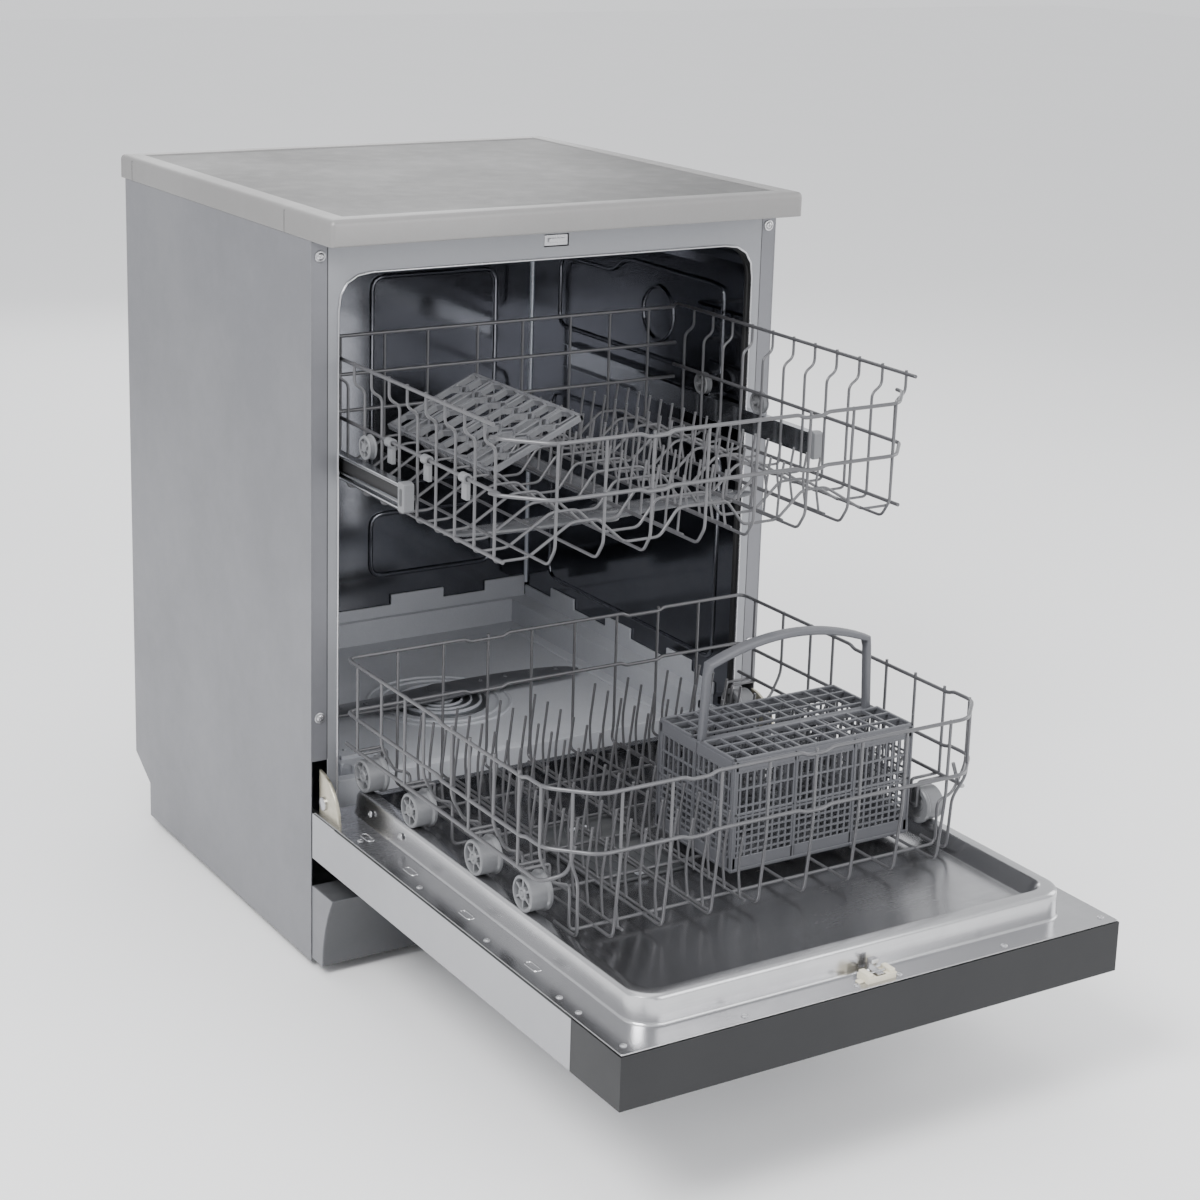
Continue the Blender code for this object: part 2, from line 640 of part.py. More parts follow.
def liner(hinge, tip, half, flange, sheet):
    """The pressed stainless inner door: a raised rim on three sides round a shallow dish."""
    near = PIVOT_Y - 0.0040
    rim = flange + RIM_HEIGHT
    dish = flange + DISH_HEIGHT
    low = flange + DISH_HEIGHT + 0.001
    inner = RIM_HALF_WIDTH - 0.004 - RIM_TOP_WIDTH
    loops = [
        (half - 0.0010, tip + 0.0010, near, 0.002, flange, flange),
        (RIM_HALF_WIDTH, tip + 0.0300, near - 0.002, 0.030, flange, flange),
        (RIM_HALF_WIDTH - 0.004, tip + 0.0340, near - 0.005, 0.028, rim, low),
        (inner, tip + 0.0510, near - 0.010, 0.022, rim, low),
        (inner - 0.006, tip + 0.0580, near - 0.018, 0.016, dish, dish),
    ]
    bm = bmesh.new()
    rings = []
    slope_start = near - 0.030
    for half_x, y_low, y_high, radius, z_far, z_near in loops:
        ring = []
        for x, y in rounded_rectangle(-half_x, half_x, y_low, y_high, radius, 4):
            blend = min(1.0, max(0.0, (y - slope_start) / (y_high - slope_start)))
            ring.append(bm.verts.new((x, y, z_far + (z_near - z_far) * blend)))
        rings.append(ring)
    for one, two in zip(rings, rings[1:]):
        for i in range(len(one)):
            k = (i + 1) % len(one)
            bm.faces.new((one[i], one[k], two[k], two[i]))
    bm.faces.new(rings[-1])
    sheet_object = add_object("door_liner", bm, STEEL, parent=hinge)
    solid = sheet_object.modifiers.new("Solidify", "SOLIDIFY")
    solid.thickness = sheet
    solid.offset = -1
    solid.use_even_offset = True
    x_low, x_high, y_low, y_high = DISPENSER
    hole = [((x_low - GAP, y_low - GAP, flange - 0.02), (x_high + GAP, y_high + GAP, flange + 0.05))]
    notch = []
    for side in (-1, 1):
        ends = sorted((side * (half - HINGE_INSET - HINGE_PLATE - SLACK), side * (half + 0.01)))
        notch.append(((ends[0], PIVOT_Y - HINGE_RADIUS - 0.006, flange - 0.01),
                      (ends[1], PIVOT_Y + 0.01, flange + 0.01)))
    cut_blocks(sheet_object, hole + notch)


def latch(hinge, tip, flange):
    """The latch housing on the door's top edge, and the hook that turns in it."""
    low_y, high_y = tip + 0.0070, tip + 0.0240
    housing = block("latch_housing", (-0.017, low_y, flange + GAP), (0.017, high_y, flange + 0.0060), CREAM, hinge)
    cut_blocks(housing, [((-0.006, low_y + 0.0010, flange + 0.002), (0.006, high_y + 0.01, flange + 0.02))])
    axis = (0.0, low_y + 0.0080, flange + 0.0055)
    outline = [(axis[1] - 0.0030, axis[2] - 0.0028), (axis[1] + 0.0140, axis[2] - 0.0028),
               (axis[1] + 0.0140, axis[2] + 0.0120), (axis[1] + 0.0070, axis[2] + 0.0120),
               (axis[1] + 0.0070, axis[2] + 0.0080), (axis[1] + 0.0105, axis[2] + 0.0080),
               (axis[1] + 0.0105, axis[2] + 0.0020), (axis[1] - 0.0030, axis[2] + 0.0020)]
    outline = [(y - 0.0030, z) for y, z in outline]
    plain("latch_hook", lambda bm: add_prism(bm, outline, "x", -0.004, 0.004), ZINC, origin=axis, parent=hinge)


def dispenser(hinge, flange):
    """The detergent dispenser in the dish, with its raised rinse-aid cap and its sliding lid."""
    x_low, x_high, y_low, y_high = DISPENSER
    top = flange + DISH_HEIGHT + DISPENSER_RISE
    body = block("dispenser", (x_low, y_low, flange - 0.030), (x_high, y_high, top), DARK_PLASTIC, hinge)
    cup_low, cup_high = y_low + 0.012, y_low + 0.072
    cap_centre = ((x_low + x_high) / 2, y_high - 0.028, top)
    cup = bmesh.new()
    add_block(cup, (x_low + 0.014, cup_low, flange - 0.012), (x_high - 0.014, cup_high, top + 0.01))
    combine(body, cup, "DIFFERENCE")
    cap = bmesh.new()
    add_turned(cap, [(-0.004, 0), (-0.004, 0.0150), (0.0020, 0.0150), (0.0020, 0.0)], cap_centre, "z", 16)
    combine(body, cap, "UNION")
    block("detergent_lid", (x_low + 0.010, cup_low - 0.003, top + GAP), (x_high - 0.010, cup_high + 0.003, top + 0.0028),
          DARK_PLASTIC, hinge)


def hinge_arm(name, side, hinge, half, flange):
    """A plated hinge arm: a quarter disc at the pivot and a bar inside the door's side."""
    outer = side * (half - HINGE_INSET)
    inner = outer - side * HINGE_PLATE
    outline = [(PIVOT_Y - 0.0005, flange - 0.0225), (PIVOT_Y - 0.0005, flange + HINGE_RADIUS)]
    outline += arc((PIVOT_Y - 0.0005, flange), HINGE_RADIUS, 90, 180, 6)[1:]
    outline += [(PIVOT_Y - HINGE_RADIUS, flange - 0.006), (PIVOT_Y - 0.170, flange - 0.006),
                (PIVOT_Y - 0.170, flange - 0.0225)]
    outline = [(y - 0.004, z) for y, z in outline]
    low, high = sorted((outer, inner))
    plain(name, lambda bm: add_prism(bm, outline, "x", low, high), ZINC, parent=hinge)


# ---------------------------------------------------------------- racks
def spread(start, end, count):
    """Evenly spaced numbers that include both ends."""
    return [start + (end - start) * i / (count - 1) for i in range(count)]


def rack_side(name, side, rack, wheels):
    """One welded side of a rack: its long wires, uprights, and the wheel carriers when it has wheels."""
    x = side * rack["half"]
    front = rack["front"] + RACK_CHAMFER + 0.003
    rear = rack["rear"] - 0.012
    uprights = bmesh.new()
    for y in spread(front + 0.006, rear - 0.006, rack["side_uprights"]):
        if rack["flare"]:
            top_x = side * (rack["half"] + rack["flare"])
            points = [(top_x, y, rack["top"]), (top_x, y, rack["mid"] + 0.032), (x, y, rack["mid"] + 0.020),
                      (x, y, rack["side_bottom"])]
        else:
            points = [(x, y, rack["top"]), (x, y, rack["side_bottom"])]
        add_wire(uprights, points, THIN_WIRE)
    for height in wheels["carriers"]:
        for y in WHEEL_Y:
            add_carrier(uprights, side, x, y, height)
    bm = bmesh.new()
    for z in rack["side_wires"]:
        wire_x = side * (rack["half"] + rack["flare"]) if z == rack["top"] else x
        add_wire(bm, [(wire_x, front, z), (wire_x, rear, z)], WIRE)
    return joined(name, bm, uprights, WIRE_GREY, parent=rack["parent"])


def add_carrier(bm, side, x, y, height):
    """A wheel carrier: a bridge over the wheel, a cheek inside it, and the axle."""
    tread_inner = WHEEL_OUTER - TREAD_WIDTH - FLANGE_WIDTH
    cheek = sorted((side * (tread_inner - 0.0035), side * (tread_inner - 0.0008)))
    bridge = sorted((side * (tread_inner - 0.0035), x + side * 0.0010))
    add_block(bm, (bridge[0], y - 0.0050, LOWER_RAIL - 0.0030), (bridge[1], y + 0.0050, LOWER_RAIL + 0.0010))
    add_block(bm, (cheek[0], y - 0.0060, height - 0.0060), (cheek[1], y + 0.0060, LOWER_RAIL - 0.0020))
    start, end = side * (tread_inner - 0.0030), side * (WHEEL_OUTER - 0.0030)
    low, high = sorted((start, end))
    add_turned(bm, [(low, 0), (low, AXLE_RADIUS), (high, AXLE_RADIUS), (high, 0)], (0, y, height), "x", 8)


def rack_end(name, y, inward, rack, wires, parent):
    """The front of a rack: wires across with chamfered corners, and its uprights."""
    reach = rack["half"] - 0.003
    bm = bmesh.new()
    turn_y = y + inward * RACK_CHAMFER
    for z in wires:
        points = [(-reach, turn_y, z), (-reach + RACK_CHAMFER, y, z), (reach - RACK_CHAMFER, y, z), (reach, turn_y, z)]
        add_wire(bm, points, WIRE)
    uprights = bmesh.new()
    for x in spread(-reach + RACK_CHAMFER + 0.004, reach - RACK_CHAMFER - 0.004, rack["end_uprights"]):
        add_wire(uprights, [(x, y, max(wires)), (x, y, rack["end_bottom"])], THIN_WIRE)
    return joined(name, bm, uprights, WIRE_GREY, parent=parent)


def add_rack_rear(uprights, wires, rack, low):
    """The rear of a rack: uprights from the floor, and wires across them."""
    reach = rack["half"] - rack["floor_inset"]
    rear = rack["rear"]
    for x in spread(-reach, reach, rack["floor_wires"])[::2]:
        add_bar(uprights, (x, rear, low), (x, rear, rack["rear_top"]), THIN_WIRE)
    for height in rack["rear_wires"]:
        add_bar(wires, (-reach - 0.003, rear, height), (reach + 0.003, rear, height), WIRE)


def rack_floor(name, rack, rows, tine, parent):
    """The floor grid. One with rows of tines carries them and the rear that rises from it."""
    z = rack["floor"]
    reach = rack["half"] - rack["floor_inset"]
    front, rear = rack["front"] + 0.004, rack["rear"]
    bm = bmesh.new()
    lengthwise = spread(-reach, reach, rack["floor_wires"])
    for x in lengthwise:
        add_bar(bm, (x, front, z), (x, rear, z), THIN_WIRE)
    across = bmesh.new()
    for y in spread(front + 0.002, rear, rack["cross_wires"]):
        add_bar(across, (-reach - 0.003, y, z), (reach + 0.003, y, z), THIN_WIRE)
    if rows:
        add_rack_rear(across, across, rack, z)
    for index, start, end, count in rows:
        x = lengthwise[index]
        for y in spread(start, end, count):
            add_bar(across, (x, y, z), (x, y, z + tine), TINE_WIRE)
    return joined(name, bm, across, WIRE_GREY, parent=parent)


def tine_frame(name, rack, rows, y_range, count, parent):
    """A frame of plate tines that lies on the rack's floor: a long wire for each row, ties, and the tines."""
    reach = rack["half"] - rack["floor_inset"]
    lengthwise = spread(-reach, reach, rack["floor_wires"])
    z = rack["floor"] + THIN_WIRE + GAP + TINE_WIRE
    start, end = y_range
    across = bmesh.new()
    for y in (start + 0.015, end - 0.015):
        add_bar(across, (lengthwise[rows[0]], y, z), (lengthwise[rows[-1]], y, z), TINE_WIRE)
    bm = bmesh.new()
    for index in rows:
        add_bar(bm, (lengthwise[index], start, z), (lengthwise[index], end, z), TINE_WIRE)
        for y in spread(start, end, count):
            add_bar(across, (lengthwise[index], y, z), (lengthwise[index], y, z + LOWER_TINE), TINE_WIRE)
    return joined(name, bm, across, WIRE_GREY, parent=parent)


def lower_rack(rack_empty):
    """The lower rack, whose eight wheels stand on the lowered door."""
    rack = {
        "half": LOWER_HALF_WIDTH, "flare": 0.0, "front": LOWER_FRONT, "rear": LOWER_REAR, "top": LOWER_TOP,
        "mid": LOWER_MID, "floor": LOWER_FLOOR, "side_bottom": LOWER_RAIL, "side_uprights": 7,
        "side_wires": (LOWER_TOP, LOWER_MID, LOWER_RAIL), "end_uprights": 8, "end_bottom": LOWER_FLOOR + 0.004,
        "floor_wires": 9, "cross_wires": 7, "floor_inset": 0.035, "rear_top": LOWER_TOP,
        "rear_wires": (LOWER_TOP, LOWER_MID), "parent": rack_empty,
    }
    carrier_height = PIVOT_Z + RIM_HEIGHT + WHEEL_RADIUS + GAP
    wheels = {"carriers": (carrier_height,)}
    rack_side("lower_rack_left_side", -1, rack, wheels)
    rack_side("lower_rack_right_side", 1, rack, wheels)
    rack_end("lower_rack_front", LOWER_FRONT, 1, rack, (LOWER_TOP, LOWER_MID), rack_empty)
    rack_floor("lower_rack_floor", rack, (), 0, rack_empty)
    uprights, wires = bmesh.new(), bmesh.new()
    add_rack_rear(uprights, wires, rack, rack["end_bottom"])
    joined("lower_rack_rear", wires, uprights, WIRE_GREY, parent=rack_empty)
    tine_frame("lower_rear_tines", rack, (1, 3, 5, 7), (-0.470, -0.290), 7, rack_empty)
    tine_frame("lower_front_tines", rack, (1, 3), (-0.690, -0.510), 7, rack_empty)
    for side, word in ((-1, "left"), (1, "right")):
        for number, y in enumerate(WHEEL_Y, start=1):
            wheel(f"{word}_wheel_{number}", side, y, carrier_height, rack_empty)


def wheel(name, side, y, z, parent):
    """A rack wheel: a tread, an inner flange and a bore for the axle."""
    inner = WHEEL_OUTER - TREAD_WIDTH - FLANGE_WIDTH
    step = inner + FLANGE_WIDTH
    bore = AXLE_RADIUS + GAP
    profile = [(inner, bore), (inner, WHEEL_FLANGE), (step, WHEEL_FLANGE), (step, WHEEL_RADIUS),
               (WHEEL_OUTER, WHEEL_RADIUS), (WHEEL_OUTER, bore)]
    profile = [(side * a, r) for a, r in profile]
    place = (side * (inner + WHEEL_OUTER) / 2, y, z)
    centre = (0, y, z)
    plain(name, lambda bm: add_ring(bm, profile, centre, "x", 16), PLASTIC, origin=place, parent=parent)


def cutlery_basket(parent):
    """The open lattice basket with its arched handle, and the two hinged grid lids."""
    x_low, x_high = BASKET_X
    y_low, y_high = BASKET_Y
    bottom = LOWER_FLOOR + WIRE + GAP
    lid_thickness = 0.003
    top = BASKET_TOP - lid_thickness - GAP
    basket = block("cutlery_basket", (x_low, y_low, bottom), (x_high, y_high, top), PLASTIC, parent)
    middle_y = (y_low + y_high) / 2
    wall = BASKET_WALL
    inside = [((x_low + wall, y_low + wall, bottom + wall), (x_high - wall, middle_y - wall, top + 0.02)),
              ((x_low + wall, middle_y + wall, bottom + wall), (x_high - wall, y_high - wall, top + 0.02))]
    cut_blocks(basket, inside)
    handle = bmesh.new()
    left, right = x_low + 0.008, x_high - 0.013
    points = [(left, middle_y, top - 0.010), (left + 0.002, middle_y, HANDLE_TOP - 0.022),
              (left + 0.012, middle_y, HANDLE_TOP - 0.010), ((left + right) / 2, middle_y, HANDLE_TOP - 0.004),
              (right - 0.012, middle_y, HANDLE_TOP - 0.010), (right - 0.002, middle_y, HANDLE_TOP - 0.022),
              (right, middle_y, top - 0.010)]
    add_wire(handle, points, 0.0042, 6)
    combine(basket, handle, "UNION")
    for name, low, high in (("front_basket_lid", y_low + GAP, middle_y - LID_GAP),
                            ("rear_basket_lid", middle_y + LID_GAP, y_high - GAP)):
        basket_lid(name, x_low, x_high, low, high, top + GAP, top + GAP + lid_thickness, parent)


def basket_lid(name, x_low, x_high, y_low, y_high, z_low, z_high, parent):
    """One grid lid, hinged along the basket's middle."""
    middle_side = y_high if "front" in name else y_low
    low = (x_low + GAP, y_low, z_low)
    high = (x_high - GAP, y_high, z_high)
    lid = plain(name, lambda bm: add_block(bm, low, high), PLASTIC, origin=(0, middle_side, z_low), parent=parent)
    cells = []
    for x in spread(x_low + 0.016, x_high - 0.016, 9):
        cells.append(((x - 0.0095, y_low + 0.005, z_low - 0.01), (x + 0.0095, y_high - 0.005, z_high + 0.01)))
    cut_blocks(lid, cells)


def upper_rack(rack_empty):
    """The upper rack, which hangs between the telescopic rails."""
    rack = {
        "half": UPPER_HALF_WIDTH, "flare": UPPER_FLARE, "front": UPPER_FRONT, "rear": UPPER_REAR, "top": UPPER_TOP,
        "mid": UPPER_MID, "floor": UPPER_FLOOR, "side_bottom": UPPER_FLOOR + 0.004, "side_uprights": 7,
        "side_wires": (UPPER_TOP, UPPER_MID, UPPER_FLOOR + 0.006), "end_uprights": 9,
        "end_bottom": UPPER_FLOOR + 0.004, "floor_wires": 9, "cross_wires": 7, "floor_inset": 0.020,
        "rear_top": UPPER_TOP, "rear_wires": (UPPER_TOP, UPPER_MID + 0.030), "parent": rack_empty,
    }
    wheels = {"carriers": ()}
    rack_side("upper_rack_left_side", -1, rack, wheels)
    rack_side("upper_rack_right_side", 1, rack, wheels)
    rack_end("upper_rack_front", UPPER_FRONT, 1, rack, (UPPER_FRONT_TOP, UPPER_MID), rack_empty)
    rows = [(4, -0.540, -0.180, 11), (6, -0.540, -0.180, 11)]
    rack_floor("upper_rack_floor", rack, rows, UPPER_TINE, rack_empty)


def cup_shelf(parent):
    """The tilting lattice shelf, clipped to the rack's left side wires."""
    hinge_x, hinge_z = -UPPER_HALF_WIDTH + 0.012, 0.628
    front, rear = -0.5150, -0.2950
    length, tilt, thickness = 0.115, math.radians(24), 0.007
    bm = bmesh.new()
    add_block(bm, (0.0, front, -thickness / 2), (length, rear, thickness / 2))
    bmesh.ops.rotate(bm, verts=bm.verts, cent=(0, 0, 0), matrix=Matrix.Rotation(-tilt, 3, "Y"))
    bmesh.ops.translate(bm, verts=bm.verts, vec=(hinge_x, 0, hinge_z))
    shelf = add_object("cup_shelf", bm, CLEAR_PLASTIC, origin=(hinge_x, 0, hinge_z), parent=parent)
    cells = bmesh.new()
    for y in spread(front + 0.026, rear - 0.026, 5):
        for x in (0.032, 0.078):
            add_block(cells, (x - 0.016, y - 0.014, -0.02), (x + 0.016, y + 0.014, 0.02))
    bmesh.ops.rotate(cells, verts=cells.verts, cent=(0, 0, 0), matrix=Matrix.Rotation(-tilt, 3, "Y"))
    bmesh.ops.translate(cells, verts=cells.verts, vec=(hinge_x, 0, hinge_z))
    combine(shelf, cells, "DIFFERENCE")


clear_scene()
TOOL = finish("tool", (0.8, 0.1, 0.1))
EDGE = finish("worktop_edge_plastic", (0.52, 0.51, 0.50), 0.45)
TOP = finish("worktop_laminate", (0.50, 0.49, 0.48), 0.50)
SILVER = finish("silver_paint", (0.46, 0.46, 0.48), 0.38, 0.45)
SILVER_DARK = finish("plinth_paint", (0.30, 0.32, 0.34), 0.42, 0.40)
STEEL = finish("stainless_steel", (0.62, 0.62, 0.64), 0.22, 1.0)
GALVANISED = finish("galvanised_steel", (0.55, 0.56, 0.57), 0.40, 1.0)
ZINC = finish("zinc_plate", (0.72, 0.68, 0.52), 0.30, 1.0)
BLACK = finish("black_plastic", (0.02, 0.02, 0.02), 0.55)
RUBBER = finish("black_rubber", (0.015, 0.015, 0.015), 0.70)
CHARCOAL = finish("charcoal_fascia", (0.055, 0.057, 0.062), 0.40)
BASE = finish("tub_floor_plastic", (0.42, 0.43, 0.46), 0.35)
DARK_PLASTIC = finish("dispenser_plastic", (0.10, 0.10, 0.11), 0.40)
PLASTIC = finish("rack_plastic", (0.36, 0.37, 0.40), 0.40)
CLEAR_PLASTIC = finish("shelf_plastic", (0.55, 0.56, 0.58), 0.25)
WIRE_GREY = finish("coated_wire", (0.34, 0.34, 0.36), 0.35)
CREAM = finish("latch_plastic", (0.72, 0.68, 0.58), 0.45)
ARM = finish("spray_arm_plastic", (0.45, 0.46, 0.49), 0.35)
FILTER = finish("filter_mesh", (0.40, 0.41, 0.43), 0.45)
PUMP = finish("pump_housing", (0.16, 0.17, 0.18), 0.50)
IRON = finish("cast_iron", (0.10, 0.10, 0.10), 0.80)


def main():
    """Build every piece in its place."""
    worktop()
    side_panel("left_side_panel", -1)
    side_panel("right_side_panel", 1)
    back_panel()
    base_tray()
    for name, x, y in (("front_left_foot", -FOOT_X, FOOT_FRONT), ("front_right_foot", FOOT_X, FOOT_FRONT),
                       ("rear_left_foot", -FOOT_X, FOOT_REAR), ("rear_right_foot", FOOT_X, FOOT_REAR)):
        foot(name, x, y)
    plinth()
    front_frame()
    tub()
    door_seal()
    sump_parts()
    spray_arm("lower_spray_arm", (*SUMP_CENTRE, LOWER_ARM_Z), LOWER_ARM_LENGTH, 0.050, 0.001)
    rail_pair()
    machinery()
    hinge = joint_empty("door_hinge", (0, PIVOT_Y, PIVOT_Z))
    door(hinge)
    lower_empty = joint_empty("lower_rack_slide", (0, LOWER_REAR, LOWER_RAIL))
    lower_rack(lower_empty)
    cutlery_basket(lower_empty)
    upper_empty = joint_empty("upper_rack_slide", (0, UPPER_REAR, UPPER_MID))
    upper_rack(upper_empty)
    cup_shelf(upper_empty)
    rail_empty = joint_empty("telescopic_rail_slide", (0, RAIL_FRONT, RAIL_TOP))
    slide_rail("left_inner_rail", -1, rail_empty)
    slide_rail("right_inner_rail", 1, rail_empty)
    arm_y = (UPPER_FRONT + UPPER_REAR) / 2
    spray_arm("upper_spray_arm", (0.0, arm_y, UPPER_ARM_Z), UPPER_ARM_LENGTH, 0.042, 0.004)


main()
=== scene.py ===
"""Looks of a free-standing dishwasher with its door down and both racks drawn out.

Each sub-assembly is a class that keeps its sizes as fields and builds and dresses its own pieces round
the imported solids. All places are in metres: +X to the right of someone facing the door, +Y to the back,
+Z up, with the origin on the floor under the middle of the worktop.
"""
import logging
import math
from dataclasses import dataclass, field
from enum import Enum
from typing import Iterable, Sequence

import bmesh
import bpy
from mathutils import Matrix, Vector


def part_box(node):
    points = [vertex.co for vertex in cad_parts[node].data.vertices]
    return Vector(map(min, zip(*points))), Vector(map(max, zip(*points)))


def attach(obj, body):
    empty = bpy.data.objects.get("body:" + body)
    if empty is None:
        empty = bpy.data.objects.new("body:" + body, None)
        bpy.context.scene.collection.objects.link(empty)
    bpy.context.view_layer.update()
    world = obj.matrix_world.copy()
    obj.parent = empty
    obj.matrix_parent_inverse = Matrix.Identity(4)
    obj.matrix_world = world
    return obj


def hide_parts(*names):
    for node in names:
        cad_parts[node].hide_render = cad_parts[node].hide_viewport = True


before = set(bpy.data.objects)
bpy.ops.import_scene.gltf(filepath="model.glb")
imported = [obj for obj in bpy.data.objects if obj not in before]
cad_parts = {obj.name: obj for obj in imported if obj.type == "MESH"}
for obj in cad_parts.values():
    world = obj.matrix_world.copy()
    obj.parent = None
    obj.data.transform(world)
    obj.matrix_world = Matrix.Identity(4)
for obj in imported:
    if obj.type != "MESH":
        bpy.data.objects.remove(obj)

log = logging.getLogger("dishwasher")
Point = tuple[float, float, float]
Flat = tuple[float, float]
SIDES = ((-1, "left"), (1, "right"))


# ================================================================ materials
class Texture(Enum):
    """The fine surface that a finish has."""

    POWDER_COAT = "powder coat"
    BRUSHED_LENGTHWAYS = "brushed along Y"
    BRUSHED_ACROSS = "brushed along X"
    MOULDED = "moulded plastic"
    ROLLED = "bright rolled sheet"
    CAST = "cast iron"


@dataclass(frozen=True)
class Finish:
    """One finish: its colours, its gloss and how strongly its texture and wear show."""

    name: str
    texture: Texture
    colour: Point
    shade: Point
    roughness: float
    metallic: float = 0.0
    coat: float = 0.0
    clear: float = 0.0
    relief: float = 0.00003
    grain: float = 900.0
    worn: float = 0.25
    worn_colour: Point = (0.75, 0.75, 0.75)
    dusty: float = 0.06
    softness: float = 0.0009
    uneven: float = 0.08


SILVER = Finish("silver_paint", Texture.POWDER_COAT, (0.195, 0.197, 0.212), (0.16, 0.162, 0.176), 0.38,
                metallic=0.55, coat=0.15, relief=0.00002, grain=1500.0)
DOOR_PAINT = Finish("door_paint", Texture.POWDER_COAT, (0.36, 0.362, 0.378), (0.31, 0.312, 0.328), 0.34,
                    metallic=0.55, coat=0.15, relief=0.00002, grain=1500.0)
WORKTOP_EDGE = Finish("worktop_moulding", Texture.MOULDED, (0.225, 0.221, 0.219), (0.2, 0.196, 0.193), 0.4,
                      metallic=0.25, softness=0.003, relief=0.00001)
WORKTOP_BOARD = Finish("worktop_laminate", Texture.MOULDED, (0.072, 0.071, 0.07), (0.06, 0.059, 0.058), 0.46,
                       metallic=0.2, relief=0.00002, grain=700.0)
FRAME_PAINT = Finish("frame_paint", Texture.POWDER_COAT, (0.27, 0.275, 0.292), (0.235, 0.24, 0.256), 0.36,
                     metallic=0.45, relief=0.00001, grain=1500.0)
PLINTH_PAINT = Finish("plinth_paint", Texture.POWDER_COAT, (0.095, 0.097, 0.103), (0.075, 0.077, 0.082), 0.42,
                      metallic=0.3, grain=1400.0)
GALVANISED = Finish("galvanised_sheet", Texture.ROLLED, (0.42, 0.43, 0.44), (0.3, 0.31, 0.33), 0.38,
                    metallic=0.9, uneven=0.16, grain=60.0)
BLACK = Finish("black_plastic", Texture.MOULDED, (0.012, 0.012, 0.013), (0.008, 0.008, 0.009), 0.52,
               relief=0.00005, worn=0.1)
RUBBER = Finish("black_rubber", Texture.MOULDED, (0.012, 0.012, 0.013), (0.02, 0.02, 0.021), 0.62,
                relief=0.00004, worn=0.05, dusty=0.02)
CHARCOAL = Finish("charcoal_fascia", Texture.BRUSHED_ACROSS, (0.014, 0.0145, 0.016), (0.011, 0.0115, 0.013),
                  0.4, metallic=0.35, relief=0.000012, worn=0.18, worn_colour=(0.25, 0.25, 0.26))
LINER_STEEL = Finish("liner_stainless", Texture.BRUSHED_ACROSS, (0.56, 0.56, 0.57), (0.43, 0.43, 0.442), 0.22,
                     metallic=1.0, relief=0.00001, softness=0.0016, uneven=0.07)
# The tub's stainless is a darker copy of the liner and rail stainless: painted shade of the dim inside of the
# tub.
SHADED_TUB_STEEL = Finish("tub_stainless_painted_shade", Texture.ROLLED, (0.23, 0.235, 0.258), (0.15, 0.154, 0.17), 0.1,
                   metallic=1.0, relief=0.000015, uneven=0.05, softness=0.0016)
RAIL_STEEL = Finish("rail_stainless", Texture.BRUSHED_LENGTHWAYS, (0.6, 0.61, 0.63), (0.45, 0.46, 0.48), 0.2,
                    metallic=1.0, relief=0.00001)
ZINC = Finish("yellow_zinc", Texture.ROLLED, (0.66, 0.62, 0.5), (0.5, 0.47, 0.38), 0.3, metallic=1.0,
              grain=120.0, uneven=0.12)
SCREW_STEEL = Finish("screw_steel", Texture.ROLLED, (0.62, 0.62, 0.63), (0.4, 0.4, 0.42), 0.26, metallic=1.0,
                     worn=0.1, softness=0.0003)
# Near-white, bluish colour: a painted highlight, the light's reflection along the tub's rounded back corners.
PAINTED_CORNER_HIGHLIGHT = Finish("painted_corner_highlight", Texture.ROLLED, (0.86, 0.89, 0.95), (0.74, 0.78, 0.86), 0.3, metallic=0.35)
WIRE_COAT = Finish("wire_coating", Texture.MOULDED, (0.105, 0.105, 0.112), (0.085, 0.085, 0.091), 0.32,
                   metallic=0.3, coat=0.3, relief=0.00001, worn=0.0, dusty=0.03)
GREY_PLASTIC = Finish("grey_plastic", Texture.MOULDED, (0.1, 0.102, 0.113), (0.082, 0.084, 0.094), 0.38,
                      relief=0.00002, worn=0.15, softness=0.0004)
ROLLER_PLASTIC = Finish("roller_plastic", Texture.MOULDED, (0.165, 0.168, 0.176), (0.135, 0.138, 0.146), 0.34,
                        relief=0.00002, worn=0.2, softness=0.0004)
BASE_PLASTIC = Finish("base_plastic", Texture.MOULDED, (0.54, 0.552, 0.59), (0.46, 0.472, 0.505), 0.33,
                      relief=0.00003, grain=500.0, softness=0.0015)
SMOKED = Finish("smoked_plastic", Texture.MOULDED, (0.12, 0.122, 0.132), (0.095, 0.097, 0.106), 0.18,
                clear=0.25, relief=0.00001, worn=0.2, softness=0.0005)
DARK_PLASTIC = Finish("dark_plastic", Texture.MOULDED, (0.05, 0.052, 0.056), (0.038, 0.04, 0.043), 0.38,
                      relief=0.00003, worn=0.15)
CREAM = Finish("cream_plastic", Texture.MOULDED, (0.68, 0.64, 0.52), (0.6, 0.56, 0.45), 0.42, worn=0.1,
               softness=0.0006)
MESH_STEEL = Finish("filter_steel", Texture.ROLLED, (0.36, 0.37, 0.39), (0.25, 0.26, 0.28), 0.34,
                    metallic=0.9, grain=900.0, relief=0.00012)
IRON = Finish("cast_iron", Texture.CAST, (0.055, 0.055, 0.058), (0.035, 0.035, 0.037), 0.72, metallic=0.4,
              relief=0.0004, grain=160.0, worn=0.35, worn_colour=(0.22, 0.2, 0.19))


